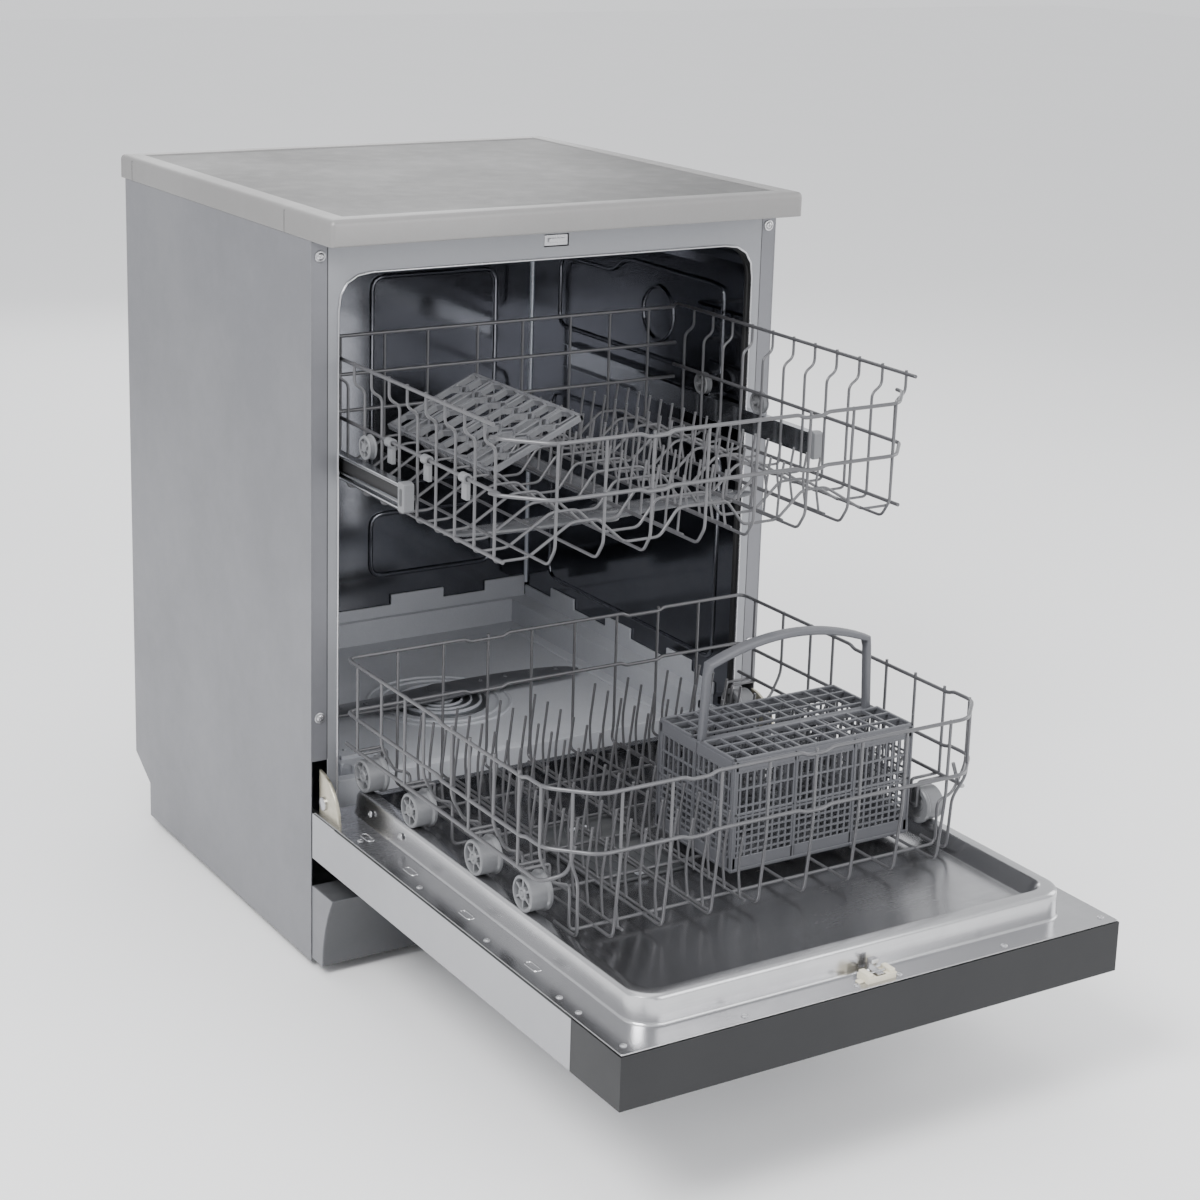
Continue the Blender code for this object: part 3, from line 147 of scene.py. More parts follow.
class NodePad:
    """Adds nodes to a tree and joins them, by socket name."""

    def __init__(self, tree: bpy.types.NodeTree) -> None:
        """Keep the tree that the nodes go in."""
        self.tree = tree

    def add(self, kind: str, inputs: dict | None = None, **settings: object) -> bpy.types.Node:
        """Add one node.

        Args:
            kind: The node's type name.
            inputs: Socket name or number to a value, or to another node's output to link.
            settings: Attributes of the node itself.

        Returns:
            The new node.
        """
        node = self.tree.nodes.new(kind)
        for name, value in settings.items():
            setattr(node, name, value)
        for key, value in (inputs or {}).items():
            if isinstance(value, bpy.types.NodeSocket):
                self.tree.links.new(value, node.inputs[key])
            else:
                node.inputs[key].default_value = value
        return node

    def effect(self, group: bpy.types.NodeTree, **inputs: object) -> bpy.types.Node:
        """Add one shared effect, with the values it gets here."""
        return self.add("ShaderNodeGroup", inputs, node_tree=group)

    def place(self) -> bpy.types.NodeSocket:
        """Add the object's own coordinates."""
        return self.add("ShaderNodeTexCoord").outputs["Object"]

    def math(self, operation: str, *values: object) -> bpy.types.NodeSocket:
        """Add a Math node.

        Args:
            operation: Its operation.
            values: Numbers or outputs, in the order of its inputs.

        Returns:
            Its output.
        """
        node = self.add("ShaderNodeMath", dict(enumerate(values)), operation=operation)
        return node.outputs[0]

    def between(self, value: object, low: float, high: float, start: float,
                end: float) -> bpy.types.NodeSocket:
        """Map a value from one range to another, held to its ends.

        Args:
            value: The output to map.
            low: Input value that gives start.
            high: Input value that gives end.
            start: First result.
            end: Last result.

        Returns:
            The mapped output.
        """
        node = self.add("ShaderNodeMapRange", {0: value, 1: low, 2: high, 3: start, 4: end})
        return node.outputs[0]

    def mix(self, factor: object, one: object, two: object) -> bpy.types.NodeSocket:
        """Mix two colours.

        Args:
            factor: Share of the second colour.
            one: First colour.
            two: Second colour.

        Returns:
            The mixed colour.
        """
        node = self.add("ShaderNodeMix", {0: factor, 6: one, 7: two}, data_type="RGBA")
        return node.outputs[2]


class Effects:
    """The shared surface effects, each a node group that is built once."""

    def __init__(self) -> None:
        """Build every group."""
        self.soft_edges = self.build_soft_edges()
        self.fine_grain = self.build_fine_grain()
        self.brushing = self.build_brushing()
        self.patches = self.build_patches()
        self.dust = self.build_dust()

    @staticmethod
    def start(name: str, inputs: dict[str, tuple[str, object]], outputs: dict[str, str]) -> tuple:
        """Open a new group.

        Args:
            name: The group's name.
            inputs: Input name to its socket type and default.
            outputs: Output name to its socket type.

        Returns:
            The group, a pad on it, its input node and its output node.
        """
        group = bpy.data.node_groups.new(name, "ShaderNodeTree")
        for label, (kind, value) in inputs.items():
            socket = group.interface.new_socket(label, in_out="INPUT", socket_type=kind)
            socket.default_value = value
        for label, kind in outputs.items():
            group.interface.new_socket(label, in_out="OUTPUT", socket_type=kind)
        pad = NodePad(group)
        return group, pad, pad.add("NodeGroupInput"), pad.add("NodeGroupOutput")

    def build_soft_edges(self) -> bpy.types.NodeTree:
        """Build the group that rounds sharp edges and marks where they are worn.

        Returns:
            A group with a Normal and a Mask.
        """
        group, pad, given, result = self.start("Soft edges", {"Radius": ("NodeSocketFloat", 0.001)},
                                               {"Normal": "NodeSocketVector", "Mask": "NodeSocketFloat"})
        bevel = pad.add("ShaderNodeBevel", {"Radius": given.outputs["Radius"]}, samples=4)
        flat = pad.add("ShaderNodeNewGeometry")
        dot = pad.add("ShaderNodeVectorMath", {0: bevel.outputs[0], 1: flat.outputs["Normal"]},
                      operation="DOT_PRODUCT")
        noise = pad.add("ShaderNodeTexNoise", {"Scale": 140.0, "Detail": 3.0})
        edge = pad.between(pad.math("SUBTRACT", 1.0, dot.outputs["Value"]), 0.01, 0.25, 0.0, 1.0)
        broken = pad.between(noise.outputs["Fac"], 0.35, 0.65, 0.3, 1.0)
        pad.tree.links.new(bevel.outputs[0], result.inputs["Normal"])
        pad.tree.links.new(pad.math("MULTIPLY", edge, broken), result.inputs["Mask"])
        return group

    def build_fine_grain(self) -> bpy.types.NodeTree:
        """Build the even speckle of powder coat, moulded plastic and cast metal.

        Returns:
            A group with a Mask and a Height.
        """
        group, pad, given, result = self.start("Fine grain", {"Scale": ("NodeSocketFloat", 900.0)},
                                               {"Mask": "NodeSocketFloat", "Height": "NodeSocketFloat"})
        place = pad.place()
        noise = pad.add("ShaderNodeTexNoise", {"Vector": place, "Scale": given.outputs["Scale"],
                                               "Detail": 4.0, "Roughness": 0.6})
        cells = pad.add("ShaderNodeTexVoronoi", {"Vector": place, "Scale": given.outputs["Scale"]})
        mixed = pad.math("ADD", noise.outputs["Fac"], pad.math("MULTIPLY", cells.outputs["Distance"], 0.4))
        pad.tree.links.new(pad.between(noise.outputs["Fac"], 0.35, 0.65, 0.0, 1.0), result.inputs["Mask"])
        pad.tree.links.new(mixed, result.inputs["Height"])
        return group

    def build_brushing(self) -> bpy.types.NodeTree:
        """Build the fine parallel lines of brushed metal.

        Returns:
            A group with a Mask and a Height.
        """
        group, pad, given, result = self.start("Brushing",
                                               {"Stretch": ("NodeSocketVector", (8.0, 1200.0, 1200.0))},
                                               {"Mask": "NodeSocketFloat", "Height": "NodeSocketFloat"})
        place = pad.place()
        scaled = pad.add("ShaderNodeVectorMath", {0: place, 1: given.outputs["Stretch"]},
                         operation="MULTIPLY")
        noise = pad.add("ShaderNodeTexNoise", {"Vector": scaled.outputs[0], "Scale": 1.0, "Detail": 5.0,
                                               "Roughness": 0.65})
        pad.tree.links.new(pad.between(noise.outputs["Fac"], 0.3, 0.7, 0.0, 1.0), result.inputs["Mask"])
        pad.tree.links.new(noise.outputs["Fac"], result.inputs["Height"])
        return group

    def build_patches(self) -> bpy.types.NodeTree:
        """Build the broad soft patches by which a surface's colour and gloss vary.

        Returns:
            A group with a Mask.
        """
        group, pad, given, result = self.start("Patches", {"Scale": ("NodeSocketFloat", 5.0)},
                                               {"Mask": "NodeSocketFloat"})
        place = pad.place()
        broad = pad.add("ShaderNodeTexNoise", {"Vector": place, "Scale": given.outputs["Scale"],
                                               "Detail": 2.0})
        fine = pad.add("ShaderNodeTexNoise", {"Vector": place, "Detail": 5.0, "Roughness": 0.6,
                                              "Scale": pad.math("MULTIPLY", given.outputs["Scale"], 9.0)})
        both = pad.math("ADD", pad.math("MULTIPLY", broad.outputs["Fac"], 0.7),
                        pad.math("MULTIPLY", fine.outputs["Fac"], 0.3))
        pad.tree.links.new(pad.between(both, 0.35, 0.65, 0.0, 1.0), result.inputs["Mask"])
        return group

    def build_dust(self) -> bpy.types.NodeTree:
        """Build the thin dust that lies on faces that look up.

        Returns:
            A group with a Mask.
        """
        group, pad, given, result = self.start("Dust", {"Amount": ("NodeSocketFloat", 0.1)},
                                               {"Mask": "NodeSocketFloat"})
        normal = pad.add("ShaderNodeNewGeometry").outputs["Normal"]
        up = pad.add("ShaderNodeSeparateXYZ", {0: normal}).outputs["Z"]
        place = pad.place()
        noise = pad.add("ShaderNodeTexNoise", {"Vector": place, "Scale": 38.0, "Detail": 6.0})
        lying = pad.math("MULTIPLY", pad.between(up, 0.5, 1.0, 0.0, 1.0),
                         pad.between(noise.outputs["Fac"], 0.45, 0.7, 0.0, 1.0))
        pad.tree.links.new(pad.math("MULTIPLY", lying, given.outputs["Amount"]), result.inputs["Mask"])
        return group


class Paintbox:
    """Makes each finish's material once."""

    BRUSHES = {Texture.BRUSHED_ACROSS: (8.0, 1300.0, 1300.0),
               Texture.BRUSHED_LENGTHWAYS: (1300.0, 8.0, 1300.0)}
    PATCH_SCALE = 5.0
    DUST_COLOUR = (0.55, 0.54, 0.52, 1.0)
    COAT_ROUGHNESS = 0.2
    RELIEF_STRENGTH = 0.6

    def __init__(self) -> None:
        """Build the shared effects."""
        self.effects = Effects()
        self.made: dict[str, bpy.types.Material] = {}

    def of(self, finish: Finish) -> bpy.types.Material:
        """The material of a finish.

        Args:
            finish: The finish wanted.

        Returns:
            Its material, made at the first call.
        """
        if finish.name not in self.made:
            self.made[finish.name] = self.make(finish)
        return self.made[finish.name]

    def make(self, finish: Finish) -> bpy.types.Material:
        """Build the material of a finish.

        Args:
            finish: Its colours, gloss and texture.

        Returns:
            The new material.
        """
        material = bpy.data.materials.new(finish.name)
        material.use_nodes = True
        material.diffuse_color = (*finish.colour, 1.0)
        shader = material.node_tree.nodes["Principled BSDF"]
        pad = NodePad(material.node_tree)
        if finish.texture in self.BRUSHES:
            grain = pad.effect(self.effects.brushing, Stretch=self.BRUSHES[finish.texture])
        else:
            grain = pad.effect(self.effects.fine_grain, Scale=finish.grain)
        patches = pad.effect(self.effects.patches, Scale=self.PATCH_SCALE)
        dust = pad.effect(self.effects.dust, Amount=finish.dusty)
        edges = pad.effect(self.effects.soft_edges, Radius=finish.softness)
        broad = pad.math("MULTIPLY", patches.outputs["Mask"], 0.6)
        fine = pad.math("MULTIPLY", grain.outputs["Mask"], 0.4)
        colour = pad.mix(pad.math("ADD", broad, fine), (*finish.colour, 1.0), (*finish.shade, 1.0))
        worn = pad.math("MULTIPLY", edges.outputs["Mask"], finish.worn)
        colour = pad.mix(worn, colour, (*finish.worn_colour, 1.0))
        colour = pad.mix(dust.outputs["Mask"], colour, self.DUST_COLOUR)
        gloss = pad.between(patches.outputs["Mask"], 0.0, 1.0, finish.roughness - finish.uneven / 2,
                            finish.roughness + finish.uneven / 2)
        gloss = pad.math("ADD", gloss, pad.math("MULTIPLY", grain.outputs["Mask"], finish.uneven / 2))
        bump = pad.add("ShaderNodeBump", {"Strength": self.RELIEF_STRENGTH, "Distance": finish.relief,
                                          "Height": grain.outputs["Height"],
                                          "Normal": edges.outputs["Normal"]})
        pad.tree.links.new(colour, shader.inputs["Base Color"])
        pad.tree.links.new(gloss, shader.inputs["Roughness"])
        pad.tree.links.new(bump.outputs[0], shader.inputs["Normal"])
        shader.inputs["Metallic"].default_value = finish.metallic
        shader.inputs["Coat Weight"].default_value = finish.coat
        shader.inputs["Coat Roughness"].default_value = self.COAT_ROUGHNESS
        shader.inputs["Transmission Weight"].default_value = finish.clear
        return material


PAINT = Paintbox()


def dress(finish: Finish, *nodes: str) -> None:
    """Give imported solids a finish.

    Args:
        finish: The finish.
        nodes: Names of the solids.
    """
    for node in nodes:
        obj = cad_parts[node]
        if not obj.material_slots:
            obj.data.materials.append(PAINT.of(finish))
        for slot in obj.material_slots:
            slot.material = PAINT.of(finish)


# ================================================================ shapes
def arc(centre: Flat, radius: float, start: float, end: float, steps: int) -> list[Flat]:
    """Points along an arc.

    Args:
        centre: Its centre.
        radius: Its radius.
        start: First angle in degrees.
        end: Last angle in degrees.
        steps: Number of chords.

    Returns:
        The points, both ends included.
    """
    angles = [math.radians(start + (end - start) * i / steps) for i in range(steps + 1)]
    return [(centre[0] + radius * math.cos(a), centre[1] + radius * math.sin(a)) for a in angles]


def spread(start: float, end: float, count: int) -> list[float]:
    """Evenly spaced numbers, both ends included.

    Args:
        start: First number.
        end: Last number.
        count: How many.

    Returns:
        The numbers.
    """
    return [start + (end - start) * i / (count - 1) for i in range(count)]


def ends(side: int, one: float, two: float) -> list[float]:
    """Two distances from the middle, as low and high x on one side."""
    return sorted((side * one, side * two))


def rounded_box(low: Flat, high: Flat, radius: float, steps: int = 6) -> list[Flat]:
    """Outline of a rectangle with round corners.

    Args:
        low: Its low corner.
        high: Its high corner.
        radius: Corner radius.
        steps: Chords in each corner.

    Returns:
        The outline, counter-clockwise.
    """
    (x0, y0), (x1, y1) = low, high
    points = arc((x1 - radius, y1 - radius), radius, 0, 90, steps)
    points += arc((x0 + radius, y1 - radius), radius, 90, 180, steps)
    points += arc((x0 + radius, y0 + radius), radius, 180, 270, steps)
    return points + arc((x1 - radius, y0 + radius), radius, 270, 360, steps)


def fillet(points: Sequence[Point], radius: float, steps: int = 4) -> list[Point]:
    """Round the corners of a path, as a wire bends.

    Args:
        points: Corner points.
        radius: Length that a bend takes from each side.
        steps: Chords in each bend.

    Returns:
        The path with its bends.
    """
    path = [Vector(p) for p in points]
    result = [path[0]]
    for before, corner, after in zip(path, path[1:], path[2:]):
        back, ahead = before - corner, after - corner
        cut = min(radius, back.length * 0.48, ahead.length * 0.48)
        start, end = corner + back.normalized() * cut, corner + ahead.normalized() * cut
        for i in range(steps + 1):
            t = i / steps
            result.append(start * (1 - t) ** 2 + corner * 2 * t * (1 - t) + end * t ** 2)
    result.append(path[-1])
    return [tuple(p) for p in result]


def keep(obj: bpy.types.Object, finish: Finish, body: str,
         stands_for: Iterable[str] = ()) -> bpy.types.Object:
    """Give a new piece its finish and its place in the frame.

    Args:
        obj: The piece.
        finish: Its finish.
        body: The body it moves with.
        stands_for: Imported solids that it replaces.

    Returns:
        The piece.
    """
    obj.data.materials.clear()
    obj.data.materials.append(PAINT.of(finish))
    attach(obj, body)
    if stands_for:
        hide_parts(*stands_for)
    log.info("%s rides on %s", obj.name, body)
    return obj


class Shape:
    """A mesh under construction."""

    TURN = {"x": Matrix.Rotation(math.pi / 2, 3, "Y"), "y": Matrix.Rotation(-math.pi / 2, 3, "X"),
            "z": Matrix.Identity(3)}

    def __init__(self) -> None:
        """Start with nothing."""
        self.bm = bmesh.new()

    def box(self, low: Point, high: Point) -> "Shape":
        """Add a box.

        Args:
            low: Its low corner.
            high: Its high corner.

        Returns:
            This shape.
        """
        middle = [(a + b) / 2 for a, b in zip(low, high)]
        size = [abs(b - a) for a, b in zip(low, high)]
        bmesh.ops.create_cube(self.bm, size=1.0, matrix=Matrix.Translation(middle) @ Matrix.Diagonal((*size,
                                                                                                      1.0)))
        return self

    def prism(self, outline: Sequence[Flat], axis: str, start: float, end: float) -> "Shape":
        """Add an outline drawn out along an axis.

        Args:
            outline: Its points in the other two coordinates, in x, y, z order.
            axis: The axis it is drawn along.
            start: First level.
            end: Last level.

        Returns:
            This shape.
        """
        rings = []
        for level in (start, end):
            ring = []
            for point in outline:
                coords = list(point)
                coords.insert("xyz".index(axis), level)
                ring.append(coords)
            rings.append(ring)
        return self.loft(rings, caps=True)

    def loft(self, rings: Sequence[Sequence[Sequence[float]]], caps: bool = False,
             closed: bool = True) -> "Shape":
        """Join rings of points with faces.

        Args:
            rings: Rings with the same number of points.
            caps: Whether the first and last ring are filled.
            closed: Whether each ring closes on itself.

        Returns:
            This shape.
        """
        made = [[self.bm.verts.new(p) for p in ring] for ring in rings]
        count = len(made[0])
        for one, two in zip(made, made[1:]):
            for i in range(count if closed else count - 1):
                k = (i + 1) % count
                self.bm.faces.new((one[i], one[k], two[k], two[i]))
        if caps:
            self.bm.faces.new(list(reversed(made[0])))
            self.bm.faces.new(made[-1])
        return self

    def turned(self, profile: Sequence[Flat], centre: Point, axis: str, segments: int = 32,
               closed: bool = False) -> "Shape":
        """Add a turned shape.

        Args:
            profile: (along, radius) points. A radius of 0 is kept as a tiny one.
            centre: Point on the axis where along is 0.
            axis: The axis.
            segments: Points round it.
            closed: Whether the profile is a loop, as round a bore.

        Returns:
            This shape.
        """
        rings = []
        for along, radius in profile:
            ring = []
            for x, y in arc((0, 0), max(radius, 0.00002), 0, 360 - 360 / segments, segments - 1):
                ring.append(self.TURN[axis] @ Vector((x, y, along)) + Vector(centre))
            rings.append(ring)
        if closed:
            return self.loft(rings + rings[:1])
        return self.loft(rings, caps=True)

    def lattice(self, columns: Sequence[float], rows: Sequence[float], bar: float, depth: float) -> "Shape":
        """Add a flat grid of crossing bars, in the XY plane.

        Args:
            columns: Middle of each upright bar, in x.
            rows: Middle of each cross bar, in y.
            bar: Half the width of a bar.
            depth: Half the thickness of the grid.

        Returns:
            This shape.
        """
        for x in columns:
            self.box((x - bar, rows[0], -depth), (x + bar, rows[-1], depth))
        for y in rows:
            self.box((columns[0], y - bar, 0.0001 - depth), (columns[-1], y + bar, depth - 0.0001))
        return self

    def join(self, other: "Shape", matrix: Matrix) -> "Shape":
        """Take in another shape, which is used up.

        Args:
            other: The other shape.
            matrix: Where its points go.

        Returns:
            This shape.
        """
        mesh = bpy.data.meshes.new("joined")
        other.bm.to_mesh(mesh)
        other.bm.free()
        mesh.transform(matrix)
        self.bm.from_mesh(mesh)
        bpy.data.meshes.remove(mesh)
        return self

    def spokes(self, low: Point, high: Point, centre: Point, axis: str, count: int) -> "Shape":
        """Add boxes evenly turned round an axis.

        Args:
            low: Low corner of the first box, measured from the centre.
            high: Its high corner.
            centre: Point on the axis.
            axis: The axis, X or Z.
            count: How many boxes.

        Returns:
            This shape.
        """
        for i in range(count):
            turn = Matrix.Rotation(2 * math.pi * i / count, 4, axis)
            self.join(Shape().box(low, high), Matrix.Translation(centre) @ turn)
        return self

    def place(self, name: str, finish: Finish, body: str, slot: str, stands_for: Iterable[str] = (),
              thickness: float = 0.0, bevel: float = 0.0, matrix: Matrix | None = None,
              merge: bool = True) -> bpy.types.Object:
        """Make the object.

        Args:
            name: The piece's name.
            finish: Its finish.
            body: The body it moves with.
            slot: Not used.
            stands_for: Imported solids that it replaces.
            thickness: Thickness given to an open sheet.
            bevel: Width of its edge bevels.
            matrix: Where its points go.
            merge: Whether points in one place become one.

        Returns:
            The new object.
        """
        if matrix is not None:
            bmesh.ops.transform(self.bm, matrix=matrix, verts=self.bm.verts)
        if merge:
            bmesh.ops.remove_doubles(self.bm, verts=self.bm.verts, dist=0.00001)
        bmesh.ops.recalc_face_normals(self.bm, faces=self.bm.faces)
        mesh = bpy.data.meshes.new(name)
        self.bm.to_mesh(mesh)
        self.bm.free()
        mesh.shade_smooth()
        mesh.set_sharp_from_angle(angle=math.radians(35))
        obj = bpy.data.objects.new(name, mesh)
        bpy.context.scene.collection.objects.link(obj)
        if thickness:
            sheet = obj.modifiers.new("Thickness", "SOLIDIFY")
            sheet.thickness = thickness
            sheet.offset = 0.0
        if bevel:
            edges = obj.modifiers.new("Edges", "BEVEL")
            edges.width = bevel
            edges.segments = 3
            edges.limit_method = "ANGLE"
            edges.angle_limit = math.radians(40)
        return keep(obj, finish, body, stands_for)


class Wires:
    """Bent wires that make one piece."""

    def __init__(self, radius: float, bend: float = 0.008) -> None:
        """Keep the wire's radius and its usual bend."""
        self.bend = bend
        self.curve = bpy.data.curves.new("wires", "CURVE")
        self.curve.dimensions = "3D"
        self.curve.bevel_depth = radius
        self.curve.bevel_resolution = 3
        self.curve.use_fill_caps = True

    def run(self, points: Sequence[Point], closed: bool = False, bend: float | None = None) -> "Wires":
        """Add one wire.

        Args:
            points: Its corners.
            closed: Whether it is a loop.
            bend: Its own bend, where it isn't the usual one.

        Returns:
            These wires.
        """
        size = self.bend if bend is None else bend
        if closed:
            middle = tuple((a + b) / 2 for a, b in zip(points[0], points[-1]))
            path = fillet([middle, *points, middle], size)[:-1]
        else:
            path = fillet(points, size)
        spline = self.curve.splines.new("POLY")
        spline.points.add(len(path) - 1)
        for point, place in zip(spline.points, path):
            point.co = (*place, 1.0)
        spline.use_cyclic_u = closed
        spline.use_smooth = True
        return self

    def place(self, name: str, finish: Finish, body: str, slot: str,
              stands_for: Iterable[str] = ()) -> bpy.types.Object:
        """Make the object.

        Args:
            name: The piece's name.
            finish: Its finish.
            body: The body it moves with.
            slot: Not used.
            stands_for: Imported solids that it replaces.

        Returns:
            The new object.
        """
        self.curve.name = name
        obj = bpy.data.objects.new(name, self.curve)
        bpy.context.scene.collection.objects.link(obj)
        return keep(obj, finish, body, stands_for)


class Screws:
    """Cross-head screws, which share one mesh for each size."""

    def __init__(self) -> None:
        """Start with no mesh."""
        self.meshes: dict[float, bpy.types.Mesh] = {}
        self.count = 0

    def mesh(self, radius: float) -> bpy.types.Mesh:
        """The mesh of one size.

        Args:
            radius: Radius of the head.

        Returns:
            Its mesh, with the head up along Z.
        """
        if radius not in self.meshes:
            shape = Shape()
            high = radius * 0.45
            shape.turned([(-0.0004, radius), (high * 0.35, radius), (high * 0.8, radius * 0.75),
                          (high, radius * 0.42), (high, radius * 0.36), (high * 0.35, radius * 0.16),
                          (high * 0.35, 0)], (0, 0, 0), "z", 20)
            arm = (radius * 0.5, radius * 0.09)
            for long, wide in (arm, arm[::-1]):
                shape.box((-long, -wide, high * 0.6), (long, wide, high * 1.04))
            bmesh.ops.recalc_face_normals(shape.bm, faces=shape.bm.faces)
            mesh = bpy.data.meshes.new("screw")
            shape.bm.to_mesh(mesh)
            shape.bm.free()
            mesh.shade_smooth()
            mesh.set_sharp_from_angle(angle=math.radians(35))
            self.meshes[radius] = mesh
        return self.meshes[radius]

    def put(self, name: str, place: Point, facing: Point, body: str,
            radius: float = 0.004) -> None:
        """Put one screw in.

        Args:
            name: What the screw holds, for its name.
            place: The middle of its head, on the surface.
            facing: The direction its head faces.
            body: The body it moves with.
            radius: Radius of its head.
        """
        self.count += 1
        obj = bpy.data.objects.new(f"{name}_screw_{self.count}", self.mesh(radius))
        bpy.context.scene.collection.objects.link(obj)
        turn = Vector((0, 0, 1)).rotation_difference(Vector(facing)).to_matrix().to_4x4()
        obj.matrix_world = Matrix.Translation(place) @ turn
        keep(obj, SCREW_STEEL, body)


SCREWS = Screws()


# ================================================================ cabinet
@dataclass
class Worktop:
    """The moulded worktop with its set-in board."""

    half_width: float = 0.299
    half_depth: float = 0.295
    top: float = 0.85
    height: float = 0.028
    edge: float = 0.024
    seams: tuple[float, float] = (-0.18, 0.255)

    def build(self) -> None:
        """Build the edge with its rounded nose and its seams."""
        bottom = self.top - self.height
        profile = [(0.0, bottom), (0.0, self.top - 0.006)]
        profile += [(0.006 - 0.006 * math.cos(math.radians(a)),
                     self.top - 0.006 + 0.006 * math.sin(math.radians(a))) for a in (22, 45, 67, 90)]
        profile += [(self.edge - 0.0012, self.top), (self.edge, self.top - 0.0012),
                    (self.edge, self.top - 0.01), (self.edge + 0.006, self.top - 0.01),
                    (self.edge + 0.006, bottom + 0.004), (0.004, bottom)]
        shape = Shape()
        rings = []
        for inset, z in profile:
            outline = rounded_box((inset - self.half_width, inset - self.half_depth),
                                  (self.half_width - inset, self.half_depth - inset),
                                  max(0.0015, 0.005 - inset), 4)
            rings.append([(x, y, z) for x, y in outline])
        shape.loft(rings + rings[:1])
        shape.place("worktop_moulding", WORKTOP_EDGE, "cabinet", "worktop_moulding", ["worktop_edge"])
        dress(WORKTOP_BOARD, "worktop_board")
        seams = Shape()
        for side in (-1, 1):
            for y in self.seams:
                x = side * self.half_width
                seams.box((min(x, x - side * 0.001), y - 0.0005, bottom),
                          (max(x, x - side * 0.001), y + 0.0005, self.top - 0.004))
        seams.place("worktop_seams", BLACK, "cabinet", "worktop_moulding")


@dataclass
class Cabinet:
    """Side panels, back, base, plinth, front frame and feet."""

    half_width: float = 0.2985
    front: float = -0.245
    back: float = 0.279
    post_screws: tuple[float, ...] = (0.805, 0.295)
    plinth_top: float = 0.1
    plinth_front: float = -0.297
    plinth_toe: float = -0.272
    plinth_bottom: float = 0.0125
    post_width: float = 0.0195
    back_frames: tuple[Flat, ...] = ((0.16, 0.44), (0.5, 0.77))
    inlet: Flat = (0.17, 0.125)

    def build(self) -> None:
        """Build and dress every piece."""
        dress(SILVER, "left_side_panel", "right_side_panel")
        dress(GALVANISED, "back_panel")
        dress(BLACK, "base_tray", "front_left_foot", "front_right_foot", "rear_left_foot", "rear_right_foot",
              "wash_pump")
        dress(FRAME_PAINT, "front_frame")
        dress(IRON, "counterweight")
        dress(ZINC, "left_door_spring", "right_door_spring")
        dress(RUBBER, "door_seal")
        self.build_plinth()
        self.build_posts()
        self.build_back()

    def build_plinth(self) -> None:
        """Build the toe board with its smooth hollow front."""
        curve = []
        for t in spread(0.0, 1.0, 17):
            sweep = 1 - (1 - t) ** 2
            curve.append((self.plinth_front + (self.plinth_toe - self.plinth_front) * sweep,
                          self.plinth_top + (self.plinth_bottom - self.plinth_top) * t))
        back = self.front - 0.0012
        half = self.half_width - 0.0017
        shape = Shape()
        shape.prism(curve + [(back, self.plinth_bottom), (back, self.plinth_top)], "x", -half, half)
        shape.place("toe_board", PLINTH_PAINT, "cabinet", "plinth_paint", ["plinth"], bevel=0.0012)
        caps = Shape()
        for side in (-1, 1):
            span = ends(side, half - 0.001, half + 0.0008)
            inner = [(y + 0.0006, z) for y, z in curve]
            caps.prism(inner + [(back, self.plinth_bottom), (back, self.plinth_top - 0.0006)], "x", *span)
        caps.place("toe_board_ends", SILVER, "cabinet", "plinth_paint")

    def build_posts(self) -> None:
        """Build the screws and trim of the front posts."""
        x = self.half_width - 0.0105
        for side in (-1, 1):
            for z in self.post_screws:
                ring = Shape()
                ring.turned([(0.0, 0.0062), (-0.0008, 0.0062), (-0.0012, 0.0056), (-0.0012, 0.0044),
                             (0.0, 0.0044)], (side * x, self.front, z), "y", 24, closed=True)
                word = "left" if side < 0 else "right"
                ring.place(f"{word}_post_washer_{round(z * 1000)}", SCREW_STEEL, "cabinet", "silver_paint")
                SCREWS.put(f"{word}_post", (side * x, self.front - 0.0002, z), (0, -1, 0), "cabinet",
                           0.004)
        seam = Shape()
        for side in (-1, 1):
            edge = side * (self.half_width - self.post_width)
            seam.box((edge - 0.0004, self.front - 0.0001, 0.246),
                     (edge + 0.0004, self.front + 0.0008, 0.8205))
        seam.place("post_seams", BLACK, "cabinet", "frame_paint")
        plate = Shape()
        plate.box((-0.015, self.front + 0.001, 0.799), (0.015, self.front + 0.0024, 0.811))
        plate.box((-0.01, self.front - 0.0012, 0.803), (0.01, self.front + 0.0012, 0.8075))
        plate.place("strike_tab", SCREW_STEEL, "cabinet", "frame_paint", bevel=0.0004)

    def build_back(self) -> None:
        """Build what a back panel has: pressed ribs, vents and screws."""
        y = self.back
        ribs = Wires(0.0026, 0.02)
        for low, high in self.back_frames:
            ribs.run([(x, y - 0.0006, z) for x, z in ((-0.22, low), (0.22, low), (0.22, high),
                                                      (-0.22, high))], closed=True, bend=0.03)
        ribs.place("back_panel_ribs", GALVANISED, "cabinet", "silver_paint")
        vents = Shape()
        for x in spread(-0.07, 0.07, 12):
            vents.box((x - 0.002, y - 0.0002, 0.102), (x + 0.002, y + 0.0003, 0.132))
        vents.place("back_vents", BLACK, "cabinet", "silver_paint", bevel=0.0001)
        for side in (-1, 1):
            for z in spread(0.125, 0.8, 4):
                SCREWS.put("back", (side * 0.288, y + 0.0001, z), (0, 1, 0), "cabinet",
                           0.0045)
        inlet = Shape()
        inlet.turned([(0.0, 0.013), (0.008, 0.013), (0.008, 0.0095), (0.0145, 0.0095), (0.0145, 0.0065),
                      (0.003, 0.0065)], (self.inlet[0], y - 0.001, self.inlet[1]), "y", 28)
        inlet.place("water_inlet", ROLLER_PLASTIC, "cabinet", "black_plastic")


